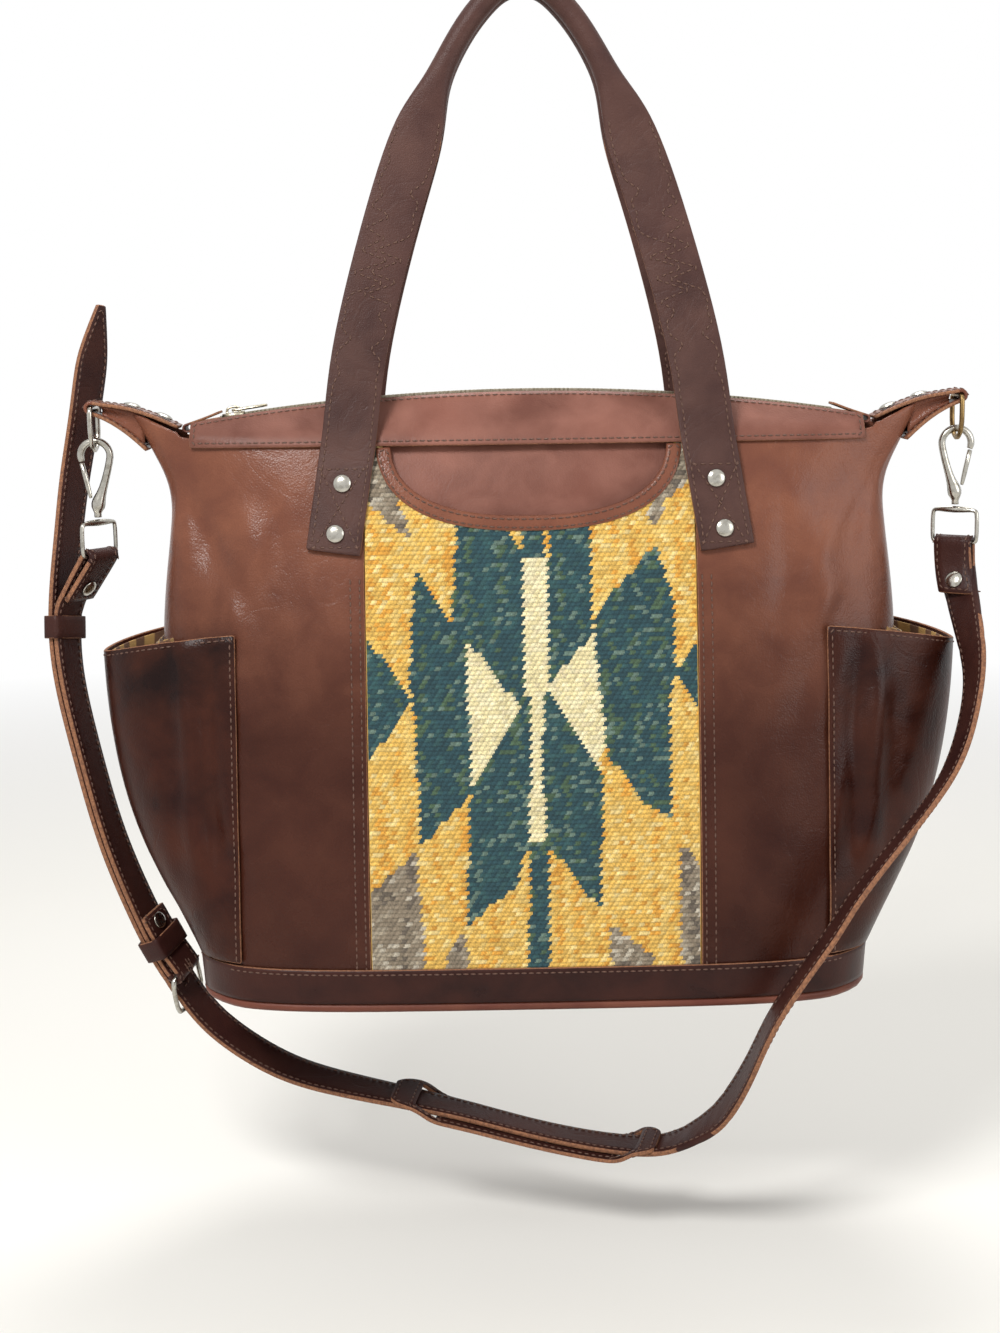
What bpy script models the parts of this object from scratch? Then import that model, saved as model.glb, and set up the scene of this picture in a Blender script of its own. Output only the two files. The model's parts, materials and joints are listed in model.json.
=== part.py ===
# Zip-top leather tote bag with a woven front, side pockets and a clip-on shoulder strap.
# Metres, +Z up, front faces -Y. The origin is where the handles hang, midway between them.
import math

import bmesh
import bpy
import numpy as np
from mathutils import Vector

OBJECT_NAME = "leather_tote_bag"
GAP = 0.0003                    # clearance between neighbouring pieces

# Leather and cloth
LEATHER = 0.0020                # body leather
ZIP_PANEL_LEATHER = 0.0018
POCKET_LEATHER = 0.0018
LINING = 0.0008                 # lining cloth
TAPE = 0.0008                   # zip tape

# Heights
ZIP_LINE = -0.2150              # top edge of the bag, under the hang point
RIM = -0.2385                   # where the body panels end, under the zip panels
BASE = -0.5520                  # underside of the bag
BAND_TOP = -0.5270
BAND_BOTTOM = -0.5466
PANEL_HEM = -0.5340             # lower edge of the body panels, inside the band

# Body in plan, from the base up: height over the base, half-length, half-depth, squareness
BODY_PROFILE = (
    (0.0000, 0.1880, 0.0785, 4.6),
    (0.0250, 0.1900, 0.0800, 4.4),
    (0.0900, 0.2030, 0.0755, 3.6),
    (0.1520, 0.2080, 0.0675, 3.2),
    (0.2180, 0.2085, 0.0575, 3.0),
    (0.2510, 0.2045, 0.0495, 2.9),
    (0.2900, 0.2005, 0.0400, 2.8),
    (0.3135, 0.2040, 0.0300, 3.0),
)
CREASE_DEPTH = 0.0045           # soft fold running down from each top corner
CREASE_WIDTH = 0.0130
CREASE_TOP = (0.1860, -0.2560)
CREASE_FOOT = (0.1420, -0.3260)

# Woven front and its scoop pocket
WOVEN_HALF_WIDTH = 0.0910
SCOOP_HALF_WIDTH = 0.0805       # middle of the bound edge, at the rim
SCOOP_BOTTOM = -0.2850
SCOOP_SQUARENESS = 2.5
BINDING_WIDTH = 0.0080
BINDING_LEATHER = 0.0010
POCKET_PANEL_FOOT = -0.3600

# Base
PIPING_RADIUS = 0.0026
BOTTOM_PANEL = 0.0024

# Zip
ZIP_ARC_RADIUS = 1.1550         # the zip line sags towards both ends on this arc
ZIP_EDGE = 0.0115               # half the slot between the zip panels
ZIP_PANEL_LAP = 0.0045          # how far the zip panels lap over the body
ZIP_HALF_LENGTH = 0.1720        # the closed teeth, from the middle to either end
ZIP_PANEL_TAIL = 0.0160         # how far the leather runs on past the teeth
ZIP_PANEL_HALF_LENGTH = ZIP_HALF_LENGTH + ZIP_PANEL_TAIL
TEETH_HALF_WIDTH = 0.0030
TEETH_HEIGHT = 0.0024
TOOTH_RELIEF = 0.0006
TOOTH_PITCH = 0.0043
TAPE_TAIL = 0.0150              # how far the tape runs on past the teeth
TAPE_HALF_LENGTH = ZIP_HALF_LENGTH + TAPE_TAIL
SLIDER_LENGTH = 0.0125
SLIDER_HALF_WIDTH = 0.0046
SLIDER_PLATE = 0.0012
SLIDER_STOP = 0.0070             # from the last tooth to the closed slider's middle
SLIDER_REST = SLIDER_STOP - ZIP_HALF_LENGTH
BAIL_WIRE = 0.0008
BAIL_SPAN = 0.0072
PULLER_WIRE = 0.0009
PULLER_LENGTH = 0.0190
PULLER_HALF_WIDTH = 0.0036
END_TAB_LEATHER = 0.0014
END_TAB_HALF_WIDTH = 0.0088
END_TAB_CLEARANCE = 0.0065      # from the last tooth to the tab
END_TAB_LENGTH = 0.0145
END_TAB_INNER = ZIP_HALF_LENGTH + END_TAB_CLEARANCE
END_TAB_OUTER = END_TAB_INNER + END_TAB_LENGTH

# Side pockets
POCKET_SEAM = 0.1630            # x of the pocket's front and back seams
POCKET_RIM = -0.3440
POCKET_RIM_DIP = 0.0140         # the rim is lower in the middle
POCKET_BULGE = 0.0325           # how far the pocket stands off the body at the rim
POCKET_LINING_FOOT = 0.375      # share of the pocket's height where its lining starts
POCKET_LINING_HALF = 0.80       # share of the pocket's width that its lining spans
POCKET_LINING_INSET = 0.0012
POCKET_LINING_CURL = 0.0060     # lining showing over the rim

# Handles
HANDLE_TUBE_RADIUS = 0.0070
HANDLE_WIDTH = 0.0300
HANDLE_LEATHER = 0.0030
HANDLE_APART = 0.0150           # between the two tubes' centres at the hang point
HANDLE_FOOT = -0.2995
HANDLE_RIM_X = 0.0985           # middle of the handle's foot at the rim
HANDLE_SPREAD = 0.155           # how far the feet lean apart below the rim
RIVET_RADIUS = 0.0052
RIVET_HEIGHT = 0.0018
HANDLE_RIVET_HEIGHTS = (-0.2625, -0.2895)

# Wings, D-rings and swivel hooks
WING_CLEARANCE = 0.0035         # from the zip's end tab to the wing
WING_ROOT = END_TAB_OUTER + WING_CLEARANCE      # x where the tab's upper leaf starts
WING_LENGTH = 0.0498
WING_TILT = math.radians(16.0)
WING_ARCH = 0.0030
WING_LEATHER = 0.0020
WING_HALF_WIDTH = 0.0100
WING_LIP_DROP = 0.0240          # how far below the rim the body starts to draw out
WING_LIP_END = 0.58             # share of the wing that the drawn-out body reaches
WING_RIVET_SHARES = (0.20, 0.56)
RING_WIRE = 0.0015
RING_HALF_WIDTH = 0.0120
RING_DROP = 0.0240
HOOK_WIRE = 0.0021
HOOK_BOW_RADIUS = 0.0084
HOOK_BOW_RISE = 0.0275          # bow's centre over the pivot block
HOOK_BLOCK_RADIUS = 0.0044
HOOK_NECK_RADIUS = 0.0022
HOOK_NECK_DROP = 0.0075
HOOK_PLAY = 0.0018              # free way between the ring's wire and the bow
GATE_WIRE = 0.0015
NOSE_DROP = 0.0034              # how far the bow's nose comes down past its centre
EYE_WIRE = 0.0013
EYE_HALF_WIDTH = 0.0135
EYE_HEIGHT = 0.0190
EYE_BOSS = 2.0                  # boss under the neck, in wire radii

# Shoulder strap
STRAP_WIDTH = 0.0220
STRAP_LEATHER = 0.0030
PLY = STRAP_LEATHER + 2 * GAP   # from one layer of strap to the next
STRAP_SHORT_END = 0.0260        # how far a strap's end comes back past its fold
STRAP_LEAN = 32.0               # degrees that the strap's fold leans outwards at the left eye
STRAPS_MEET = -0.3360           # height where the two straps come together
KEEPER_LOOSE_HEIGHT = -0.3460
KEEPER_FIXED_HEIGHT = -0.5345
KEEPER_LEATHER = 0.0014
KEEPER_WIDTH = 0.0130
PAD_WIDTH = 0.0330
PAD_LEATHER = 0.0024
PAD_SLOT_WIDTH = 0.0242
PAD_LEFT = -0.0880
PAD_RIGHT = 0.0700
PAD_SLOT_START = 0.09           # share of the pad's length
PAD_SLOT = 0.08
BUCKLE_WIRE = 0.0016
BUCKLE_HALF_WIDTH = 0.0145
BUCKLE_LENGTH = 0.0240
BUCKLE_HEIGHT = -0.5480
TONGUE_WIRE = 0.0011

RED_BROWN = (0.110, 0.040, 0.026)
ZIP_BROWN = (0.170, 0.078, 0.056)
DARK_BROWN = (0.062, 0.024, 0.020)
BAND_BROWN = (0.048, 0.016, 0.013)
PIPING_BROWN = (0.160, 0.050, 0.034)
GOLD_YELLOW = (0.740, 0.390, 0.050)
CLOTH_TAN = (0.330, 0.240, 0.130)
NICKEL = (0.640, 0.620, 0.570)

parts = bpy.data.collections.new(OBJECT_NAME)
cutters = bpy.data.collections.new("cutters")


# Scene and materials

def clear_scene():
    for thing in list(bpy.data.objects):
        bpy.data.objects.remove(thing, do_unlink=True)
    bpy.context.scene.collection.children.link(parts)
    bpy.context.scene.collection.children.link(cutters)


def finish(thing, colour, roughness=0.5, metallic=0.0, smooth=True):
    material = bpy.data.materials.new(thing.name)
    material.use_nodes = True
    shader = material.node_tree.nodes["Principled BSDF"]
    shader.inputs["Base Color"].default_value = (*colour, 1.0)
    shader.inputs["Roughness"].default_value = roughness
    shader.inputs["Metallic"].default_value = metallic
    thing.data.materials.append(material)
    if smooth and thing.type == "MESH":
        thing.data.shade_smooth()
        thing.data.set_sharp_from_angle(angle=math.radians(40))
    return thing


def add_object(name, data, collection=parts):
    thing = bpy.data.objects.new(name, data)
    collection.objects.link(thing)
    return thing


# Shape helpers

def sheet(name, rows, closed=False):
    # an open surface from rows of points; closed joins each row's ends
    count = len(rows[0])
    points = [tuple(p) for row in rows for p in row]
    faces = []
    for r in range(len(rows) - 1):
        for c in range(count if closed else count - 1):
            d = (c + 1) % count
            faces.append((r * count + c, r * count + d, (r + 1) * count + d, (r + 1) * count + c))
    mesh = bpy.data.meshes.new(name)
    mesh.from_pydata(points, [], faces)
    return add_object(name, mesh)


def thicken(thing, thickness, offset=-1.0):
    wall = thing.modifiers.new("wall", "SOLIDIFY")
    wall.thickness = thickness
    wall.offset = offset
    return thing


def loft(name, loops, closed=False):
    # a solid through loops of points; closed joins the last loop to the first
    count = len(loops[0])
    points = [tuple(p) for loop in loops for p in loop]
    faces = []
    for r in range(len(loops) if closed else len(loops) - 1):
        s = (r + 1) % len(loops)
        for c in range(count):
            d = (c + 1) % count
            faces.append((r * count + c, s * count + c, s * count + d, r * count + d))
    if not closed:
        faces.append(tuple(range(count)))
        last = (len(loops) - 1) * count
        faces.append(tuple(reversed(range(last, last + count))))
    mesh = bpy.data.meshes.new(name)
    mesh.from_pydata(points, [], faces)
    shape = bmesh.new()
    shape.from_mesh(mesh)
    bmesh.ops.recalc_face_normals(shape, faces=shape.faces)
    shape.to_mesh(mesh)
    shape.free()
    return add_object(name, mesh)


def wire(name, points, radius, cyclic=False, weights=None, sides=3):
    # a round wire along points, its radius times each weight
    curve = bpy.data.curves.new(name, "CURVE")
    curve.dimensions = "3D"
    curve.bevel_depth = radius
    curve.bevel_resolution = sides
    curve.use_fill_caps = not cyclic
    spline = curve.splines.new("POLY")
    spline.points.add(len(points) - 1)
    for i, point in enumerate(points):
        spline.points[i].co = (*point, 1.0)
        spline.points[i].radius = weights[i] if weights else 1.0
    spline.use_cyclic_u = cyclic
    return add_object(name, curve)


def smooth_curve(points, steps):
    # Catmull-Rom curve through the points, with a few steps between each two
    pts = [Vector(p) for p in points]
    pts = [2 * pts[0] - pts[1]] + pts + [2 * pts[-1] - pts[-2]]
    out = []
    for i in range(1, len(pts) - 2):
        a, b, c, d = pts[i - 1:i + 3]
        for k in range(steps):
            t = k / steps
            out.append(0.5 * (2 * b + (c - a) * t + (2 * a - 5 * b + 4 * c - d) * t * t
                              + (3 * b - a - 3 * c + d) * t ** 3))
    out.append(pts[-2])
    return out


def blend(x, knots, values):
    # smooth curve through table values, by cubic pieces
    slopes = np.gradient(values, knots)
    i = int(np.clip(np.searchsorted(knots, x) - 1, 0, len(knots) - 2))
    span = knots[i + 1] - knots[i]
    t = (x - knots[i]) / span
    return (values[i] * (2 * t ** 3 - 3 * t ** 2 + 1) + slopes[i] * span * (t ** 3 - 2 * t ** 2 + t)
            + values[i + 1] * (3 * t ** 2 - 2 * t ** 3) + slopes[i + 1] * span * (t ** 3 - t ** 2))


def ease(x, low, high):
    t = min(max((x - low) / (high - low), 0.0), 1.0)
    return t * t * (3 - 2 * t)


def arc(centre, radius, start, end, steps):
    # points of an arc in a plane, angles in degrees
    angles = [math.radians(start + (end - start) * k / steps) for k in range(steps + 1)]
    return [(centre[0] + radius * math.cos(a), centre[1] + radius * math.sin(a)) for a in angles]


# The body's surface

def body_size(z):
    up = min(max(z - BASE, 0.0), BODY_PROFILE[-1][0])
    knots = [row[0] for row in BODY_PROFILE]
    return [blend(up, knots, [row[k] for row in BODY_PROFILE]) for k in (1, 2, 3)]


def crease(x, z):
    # depth of the soft fold at a place on the front or back
    top, foot = Vector(CREASE_TOP), Vector(CREASE_FOOT)
    along = (foot - top).normalized()
    off = Vector((abs(x), z)) - top
    s = off.dot(along) / (foot - top).length
    across = (off - along * off.dot(along)).length
    return CREASE_DEPTH * math.exp(-(across / CREASE_WIDTH) ** 2) * ease(s, -0.3, 0.3) * (1 - ease(s, 0.6, 1.4))


def body_point(angle, z, offset=0.0):
    # angle 0 is the +X end, 90 degrees the front; offset is outwards from the leather's face
    length, depth, squareness = body_size(z)
    c, s = math.cos(angle), math.sin(angle)
    x = length * math.copysign(abs(c) ** (2 / squareness), c)
    y = -depth * math.copysign(abs(s) ** (2 / squareness), s)
    nx = math.copysign((abs(x) / length) ** (squareness - 1) / length, x)
    ny = math.copysign((abs(y) / depth) ** (squareness - 1) / depth, y)
    size = math.hypot(nx, ny)
    out = offset - crease(x, z) * abs(ny) / size
    return Vector((x + nx / size * out, y + ny / size * out, z))


def angle_at(x, z):
    # angle on the front where the surface has this x
    length, _, squareness = body_size(z)
    share = min(abs(x) / length, 1.0)
    angle = math.acos(share ** (squareness / 2))
    return angle if x >= 0 else math.pi - angle


def front_point(x, z, offset=0.0):
    return body_point(angle_at(x, z), z, offset)


def front_normal(x, z):
    step = 0.002
    a, b = front_point(x - step, z), front_point(x + step, z)
    c, d = front_point(x, z - step), front_point(x, z + step)
    return (b - a).cross(d - c).normalized()


def to_back(points):
    return [Vector((p[0], -p[1], p[2])) for p in points]


def mirrored(points, side):
    return points if side > 0 else [Vector((-p.x, p.y, p.z)) for p in reversed(points)]


def zip_height(x):
    return ZIP_LINE - ZIP_ARC_RADIUS + math.sqrt(ZIP_ARC_RADIUS ** 2 - x * x)


def wing_point(s):
    # x and z of the wing's middle line, from the tab's root (0) to its fold (1)
    x = WING_ROOT + s * WING_LENGTH * math.cos(WING_TILT)
    z = (zip_height(WING_ROOT) - 0.0022 + s * WING_LENGTH * math.sin(WING_TILT)
         + WING_ARCH * math.sin(math.pi * s))
    return x, z


# Body panels

def heights(low, high, count):
    return [low + (high - low) * k / (count - 1) for k in range(count)]


def wing_lip():
    # x and z where the body's drawn-out edge ends, between the wing tab's two leaves
    x, z = wing_point(WING_LIP_END)
    return x, z - LEATHER / 2


def draw_out(point):
    # pulls the end of the top edge up and out
    pull = math.exp(-(point.y / 0.0120) ** 4) * ease(abs(point.x), 0.150, 0.200)
    x, lip = wing_lip()
    return point.lerp(Vector((math.copysign(x, point.x), point.y, lip)), pull)


def turn_angles(z):
    # angles from the front seam of a side panel, round the bag's end, to its back seam
    start = angle_at(WOVEN_HALF_WIDTH + GAP, z)
    corner = math.radians(40)
    squareness = body_size(z)[2]
    half = [start + (corner - start) * k / 5 for k in range(6)]
    half += [math.asin(math.sin(corner) * (1 - k / 4) ** (squareness / 2)) for k in range(1, 5)]
    return half + [-angle for angle in reversed(half[:-1])]


def side_panel(name, side):
    rows = []
    for z in [PANEL_HEM] + heights(BAND_TOP, RIM - WING_LIP_DROP, 11) + [RIM]:
        row = [body_point(angle, z) for angle in turn_angles(z)]
        if z == RIM:
            row = [draw_out(point) for point in row]
        rows.append(mirrored(row, side))
    return finish(thicken(sheet(name, rows), LEATHER, -1.0), RED_BROWN, 0.42)


def scoop_height(x, half_width=SCOOP_HALF_WIDTH, bottom=SCOOP_BOTTOM):
    share = min(abs(x) / half_width, 1.0)
    return RIM - (RIM - bottom) * (1 - share ** SCOOP_SQUARENESS) ** (1 / SCOOP_SQUARENESS)


def scoop_edge():
    # x and z along the scoop's edge, closer together at its steep ends
    xs = [-SCOOP_HALF_WIDTH * math.cos(math.pi * k / 24) for k in range(25)]
    return [(x, scoop_height(x)) for x in xs]


def woven_panel():
    edge = [(-WOVEN_HALF_WIDTH, RIM)] + scoop_edge() + [(WOVEN_HALF_WIDTH, RIM)]
    base = SCOOP_BOTTOM - 1.5 * BINDING_WIDTH
    rows = [[front_point(x, z) for x, _ in edge] for z in [PANEL_HEM] + heights(BAND_TOP, base, 6)]
    for share in heights(0.25, 1.0, 4):
        rows.append([front_point(x, base + share * (top - base)) for x, top in edge])
    return finish(thicken(sheet("front_woven_panel", rows), LEATHER, -1.0), GOLD_YELLOW, 0.9)


def centre_patch(name, levels, depth, back=False):
    # a leather panel between the side panels, some depth behind the body's face
    rows = []
    for z in levels:
        row = [front_point(x, z, -depth) for x in heights(-WOVEN_HALF_WIDTH, WOVEN_HALF_WIDTH, 9)]
        rows.append(list(reversed(to_back(row))) if back else row)
    return finish(thicken(sheet(name, rows), LEATHER, -1.0), RED_BROWN, 0.45)


def scoop_binding():
    # folded leather over the woven edge: outside leaf, edge, inside leaf
    edge = scoop_edge()
    top = RIM - ZIP_PANEL_LAP - GAP
    for end, near in ((0, 1), (-1, -2)):
        (x, z), (inner_x, inner_z) = edge[end], edge[near]
        edge[end] = (x + (inner_x - x) * (z - top) / (z - inner_z), top)
    loops = []
    for k, (x, z) in enumerate(edge):
        a, b = edge[max(k - 1, 0)], edge[min(k + 1, len(edge) - 1)]
        along = Vector((b[0] - a[0], b[1] - a[1])).normalized()
        loops.append(binding_section(x, z, Vector((along.y, -along.x))))
    return finish(loft("scoop_binding", loops), BAND_BROWN, 0.4)


def binding_section(x, z, away):
    # a hooked section round the panel's edge; away points down onto the woven panel
    half = BINDING_WIDTH / 2
    near = 2 * GAP
    face = near + BINDING_LEATHER
    behind = -LEATHER - near
    profile = (
        (half, near), (half, face), (-half, face), (-half, behind - BINDING_LEATHER),
        (half * 0.6, behind - BINDING_LEATHER), (half * 0.6, behind), (-near, behind), (-near, near),
    )
    top = RIM - ZIP_PANEL_LAP - GAP
    return [front_point(x + away.x * along, min(z + away.y * along, top), out) for along, out in profile]


# Base

def around(z, offset):
    # points round the whole body, anticlockwise from above, in line with the panels' columns
    right = [body_point(angle, z, offset) for angle in turn_angles(z)]
    middle = [front_point(x, z, offset) for x in (-WOVEN_HALF_WIDTH * 0.55, 0.0, WOVEN_HALF_WIDTH * 0.55)]
    return right + list(reversed(to_back(middle))) + mirrored(right, -1) + middle


def base_band():
    rows = [around(z, GAP) for z in heights(BAND_BOTTOM, BAND_TOP, 3)]
    band = thicken(sheet("base_band", rows, closed=True), LEATHER, 1.0)
    return finish(band, BAND_BROWN, 0.38)


def base_piping():
    points = around(BASE + PIPING_RADIUS + GAP / 2, 0.0)
    return finish(wire("base_piping", points, PIPING_RADIUS, cyclic=True, sides=1), PIPING_BROWN, 0.5)


def bottom_panel():
    low = [Vector((p.x, p.y, BASE - GAP)) for p in around(BASE, -PIPING_RADIUS - 3 * GAP)]
    high = [p + Vector((0, 0, BOTTOM_PANEL)) for p in low]
    return finish(loft("bottom_panel", [low, high]), BAND_BROWN, 0.5, smooth=False)


def floored(cup):
    # closes the lowest row of a cup made by sheet
    shape = bmesh.new()
    shape.from_mesh(cup.data)
    low = [edge for edge in shape.edges if edge.is_boundary]
    foot = min(edge.verts[0].co.z for edge in low) + 0.002
    bmesh.ops.contextual_create(shape, geom=[edge for edge in low if edge.verts[0].co.z < foot])
    bmesh.ops.recalc_face_normals(shape, faces=shape.faces)
    shape.to_mesh(cup.data)
    shape.free()
    return cup


def main_lining():
    depth = 2 * LEATHER + 2 * BINDING_LEATHER + 5 * GAP
    floor = BASE + BOTTOM_PANEL + GAP
    rows = [around(z, -depth) for z in heights(floor, RIM - ZIP_PANEL_LAP - 0.004, 7)]
    cup = floored(sheet("main_lining", rows, closed=True))
    return finish(thicken(cup, LINING, -1.0), CLOTH_TAN, 0.9)


# Zip

def zip_panel(name, back=False):
    rows = []
    xs = heights(-ZIP_PANEL_HALF_LENGTH, ZIP_PANEL_HALF_LENGTH, 21)
    for z in (RIM - ZIP_PANEL_LAP, RIM + 0.0008):
        rows.append([front_point(x, z, 2 * GAP) for x in xs])
    edge = [Vector((x, -ZIP_EDGE, zip_height(x))) for x in xs]
    rows.append([low.lerp(high, 0.5) for low, high in zip(rows[-1], edge)])
    rows.append(edge)
    if back:
        rows = [list(reversed(to_back(row))) for row in rows]
    return finish(thicken(sheet(name, rows), ZIP_PANEL_LEATHER, 1.0), ZIP_BROWN, 0.45)


def zip_tape(name, back=False):
    slope = Vector((0.0, -0.0052, -0.0060))
    profile = [Vector((0, -TEETH_HALF_WIDTH - 0.0004, -0.0008)), Vector((0, -ZIP_EDGE + 0.0008, -0.0009))]
    profile.append(profile[-1] + slope)
    rows = []
    for p in reversed(profile):
        xs = heights(-TAPE_HALF_LENGTH, TAPE_HALF_LENGTH, 13)
        row = [Vector((x, p.y, zip_height(x) + p.z)) for x in xs]
        rows.append(list(reversed(to_back(row))) if back else row)
    return finish(thicken(sheet(name, rows), TAPE, -1.0), CLOTH_TAN, 0.85)


def zip_chain():
    # the closed teeth as one bar with a ridge for every tooth
    count = int(2 * ZIP_HALF_LENGTH / TOOTH_PITCH)
    loops = []
    for k, x in enumerate(heights(-ZIP_HALF_LENGTH, ZIP_HALF_LENGTH, count + 1)):
        top = zip_height(x) + TEETH_HEIGHT / 2 - TOOTH_RELIEF * (k % 2)
        low = zip_height(x) - TEETH_HEIGHT / 2
        w = TEETH_HALF_WIDTH
        loops.append([(x, -w, low), (x, w, low), (x, w, top), (x, -w, top)])
    return finish(loft("zip_chain", loops), NICKEL, 0.3, 1.0, smooth=False)


def as_mesh(name, thing, collection=parts):
    # a plain welded mesh of a curve or a modified object, which it replaces
    graph = bpy.context.evaluated_depsgraph_get()
    mesh = bpy.data.meshes.new_from_object(thing.evaluated_get(graph))
    shape = bmesh.new()
    shape.from_mesh(mesh)
    bmesh.ops.remove_doubles(shape, verts=shape.verts, dist=1e-6)
    shape.to_mesh(mesh)
    shape.free()
    bpy.data.objects.remove(thing, do_unlink=True)
    body = add_object(name, mesh, collection)
    if collection == cutters:
        body.hide_render = True
        body.display_type = "WIRE"
    return body


def cut(thing, cutter, operation="DIFFERENCE"):
    change = thing.modifiers.new(cutter.name, "BOOLEAN")
    change.operation = operation
    change.object = cutter


def zip_slider():
    # plate and side lips over the teeth, with a bail for the puller
    z = zip_height(SLIDER_REST)
    tilt = SLIDER_REST / ZIP_ARC_RADIUS
    roof = TEETH_HEIGHT / 2 + GAP
    lip = TEETH_HALF_WIDTH + GAP
    w = SLIDER_HALF_WIDTH
    foot = -0.0003
    profile = ((-w, foot), (-w, roof + SLIDER_PLATE), (w, roof + SLIDER_PLATE), (w, foot),
               (lip, foot), (lip, roof), (-lip, roof), (-lip, foot))
    loops = [[(x, y, h) for y, h in profile] for x in (-SLIDER_LENGTH / 2, SLIDER_LENGTH / 2)]
    plate = loft("slider_plate", loops)
    top = roof + SLIDER_PLATE
    rise = bail_rise()
    half = BAIL_SPAN / 2
    path = [(-half, 0, top - 0.0004), (-half, 0, top + rise * 0.6), (-half * 0.6, 0, top + rise),
            (half * 0.6, 0, top + rise), (half, 0, top + rise * 0.6), (half, 0, top - 0.0004)]
    slider = as_mesh("zip_slider", plate)
    bail = as_mesh("slider_bail", wire("bail", path, BAIL_WIRE, sides=1), cutters)
    bail.parent = slider
    cut(slider, bail, "UNION")
    slider.location = (SLIDER_REST, 0, z)
    slider.rotation_euler = (0, tilt, 0)
    return finish(slider, NICKEL, 0.28, 1.0)


def bail_rise():
    return 2 * PULLER_WIRE + 2 * GAP + BAIL_WIRE


def zip_puller():
    # a long ring held under the bail by its end bar, lying over the teeth
    height = TEETH_HEIGHT / 2 + GAP + SLIDER_PLATE + GAP + PULLER_WIRE
    w = PULLER_HALF_WIDTH
    far = PULLER_LENGTH
    path = [(0, -w, 0), (0, w, 0), (far * 0.3, w, 0), (far * 0.62, w * 1.25, 0), (far * 0.9, w * 1.1, 0),
            (far, w * 0.5, 0), (far, -w * 0.5, 0), (far * 0.9, -w * 1.1, 0), (far * 0.62, -w * 1.25, 0),
            (far * 0.3, -w, 0)]
    puller = wire("zip_puller", path, PULLER_WIRE, cyclic=True, sides=1)
    tilt = SLIDER_REST / ZIP_ARC_RADIUS
    up = Vector((math.sin(tilt), 0, math.cos(tilt)))
    puller.location = Vector((SLIDER_REST, 0, zip_height(SLIDER_REST))) + up * height
    puller.rotation_euler = (0, tilt, 0)
    return finish(puller, NICKEL, 0.28, 1.0)


def strip(name, points, half_width, thickness, colour, roughness=0.45):
    # a leather strip whose path lies in the XZ plane and whose width runs along Y
    points = [Vector((p[0], 0, p[1])) for p in points]
    loops = []
    for k, point in enumerate(points):
        tangent = (points[min(k + 1, len(points) - 1)] - points[max(k - 1, 0)]).normalized()
        normal = Vector((-tangent.z, 0, tangent.x))
        half = normal * thickness / 2
        side = Vector((0, half_width, 0))
        loops.append([point - side - half, point + side - half, point + side + half, point - side + half])
    return finish(loft(name, loops), colour, roughness)


def end_tab(name, side):
    # leather folded over the zip's end, its upper leaf curling up
    t = END_TAB_LEATHER
    fold = TAPE / 2 + 0.0010 + t / 2
    z = zip_height(END_TAB_OUTER) - 0.0012
    inner = zip_height(END_TAB_INNER)
    path = [(END_TAB_INNER - 0.006, inner + 0.0052), (END_TAB_INNER, inner + 0.0028),
            (END_TAB_INNER + 0.005, inner + 0.0010)]
    path += [(x, h) for x, h in reversed(arc((END_TAB_OUTER - fold, z), fold, -90, 90, 6))]
    path.append((END_TAB_INNER + 0.001, inner - 0.0012 - fold))
    return strip(name, [(side * x, h) for x, h in path], END_TAB_HALF_WIDTH, t, RED_BROWN)


# Side pockets

def pocket_columns():
    return [-math.cos(math.pi * k / 16) for k in range(17)]


def pocket_angle(u, z):
    seam = math.sin(angle_at(POCKET_SEAM, z))
    return -math.copysign(math.asin(seam * abs(u) ** (body_size(z)[2] / 2)), u)


def pocket_point(u, v, inset=0.0):
    # u runs from the front seam (-1) to the back seam (1), v from the hem (0) to the rim (1)
    middle = max(1 - u * u, 0.0)
    low = BAND_TOP + POCKET_LEATHER
    z = low + v * (POCKET_RIM - POCKET_RIM_DIP * middle - low)
    point = body_point(pocket_angle(u, z), z, 3 * GAP)
    swell = POCKET_BULGE * (1 - (1 - v) ** 2.4) * middle ** 0.75
    return Vector((point.x + max(swell - inset, 0.0), point.y, z))


def side_pocket(name, side):
    rows = [mirrored([pocket_point(u, v) for u in pocket_columns()], side) for v in heights(0.0, 1.0, 9)]
    return finish(thicken(sheet(name, rows), POCKET_LEATHER, 1.0), RED_BROWN, 0.4)


def pocket_lining(name, side):
    # a flat pouch: its front wall lines the pocket, its back wall lies on the body
    us = [u for u in pocket_columns() if abs(u) < POCKET_LINING_HALF]
    rows = []
    for v in heights(POCKET_LINING_FOOT, 1.0, 6):
        v = min(v, 0.99)
        front = [pocket_point(u, v, POCKET_LINING_INSET) for u in us]
        behind = [body_point(pocket_angle(u, p.z), p.z, 4 * GAP) for u, p in zip(us, front)]
        curl = POCKET_LINING_CURL * ease(v, 0.8, 0.99)
        behind = [p + Vector((curl * 0.35, 0, curl)) for p in reversed(behind)]
        rows.append(mirrored(front + behind, side))
    pouch = floored(sheet(name, rows, closed=True))
    return finish(thicken(pouch, LINING, -1.0), CLOTH_TAN, 0.9)


# Handles

def handle_lift(z):
    # the strap lies on the body at its foot and rides over the zip panel's lap
    over_lap = GAP + ZIP_PANEL_LEATHER + GAP
    return GAP * 2 + (over_lap + 0.0002 - GAP) * ease(z, HANDLE_FOOT + 0.030, RIM - ZIP_PANEL_LAP - 0.004)


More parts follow.
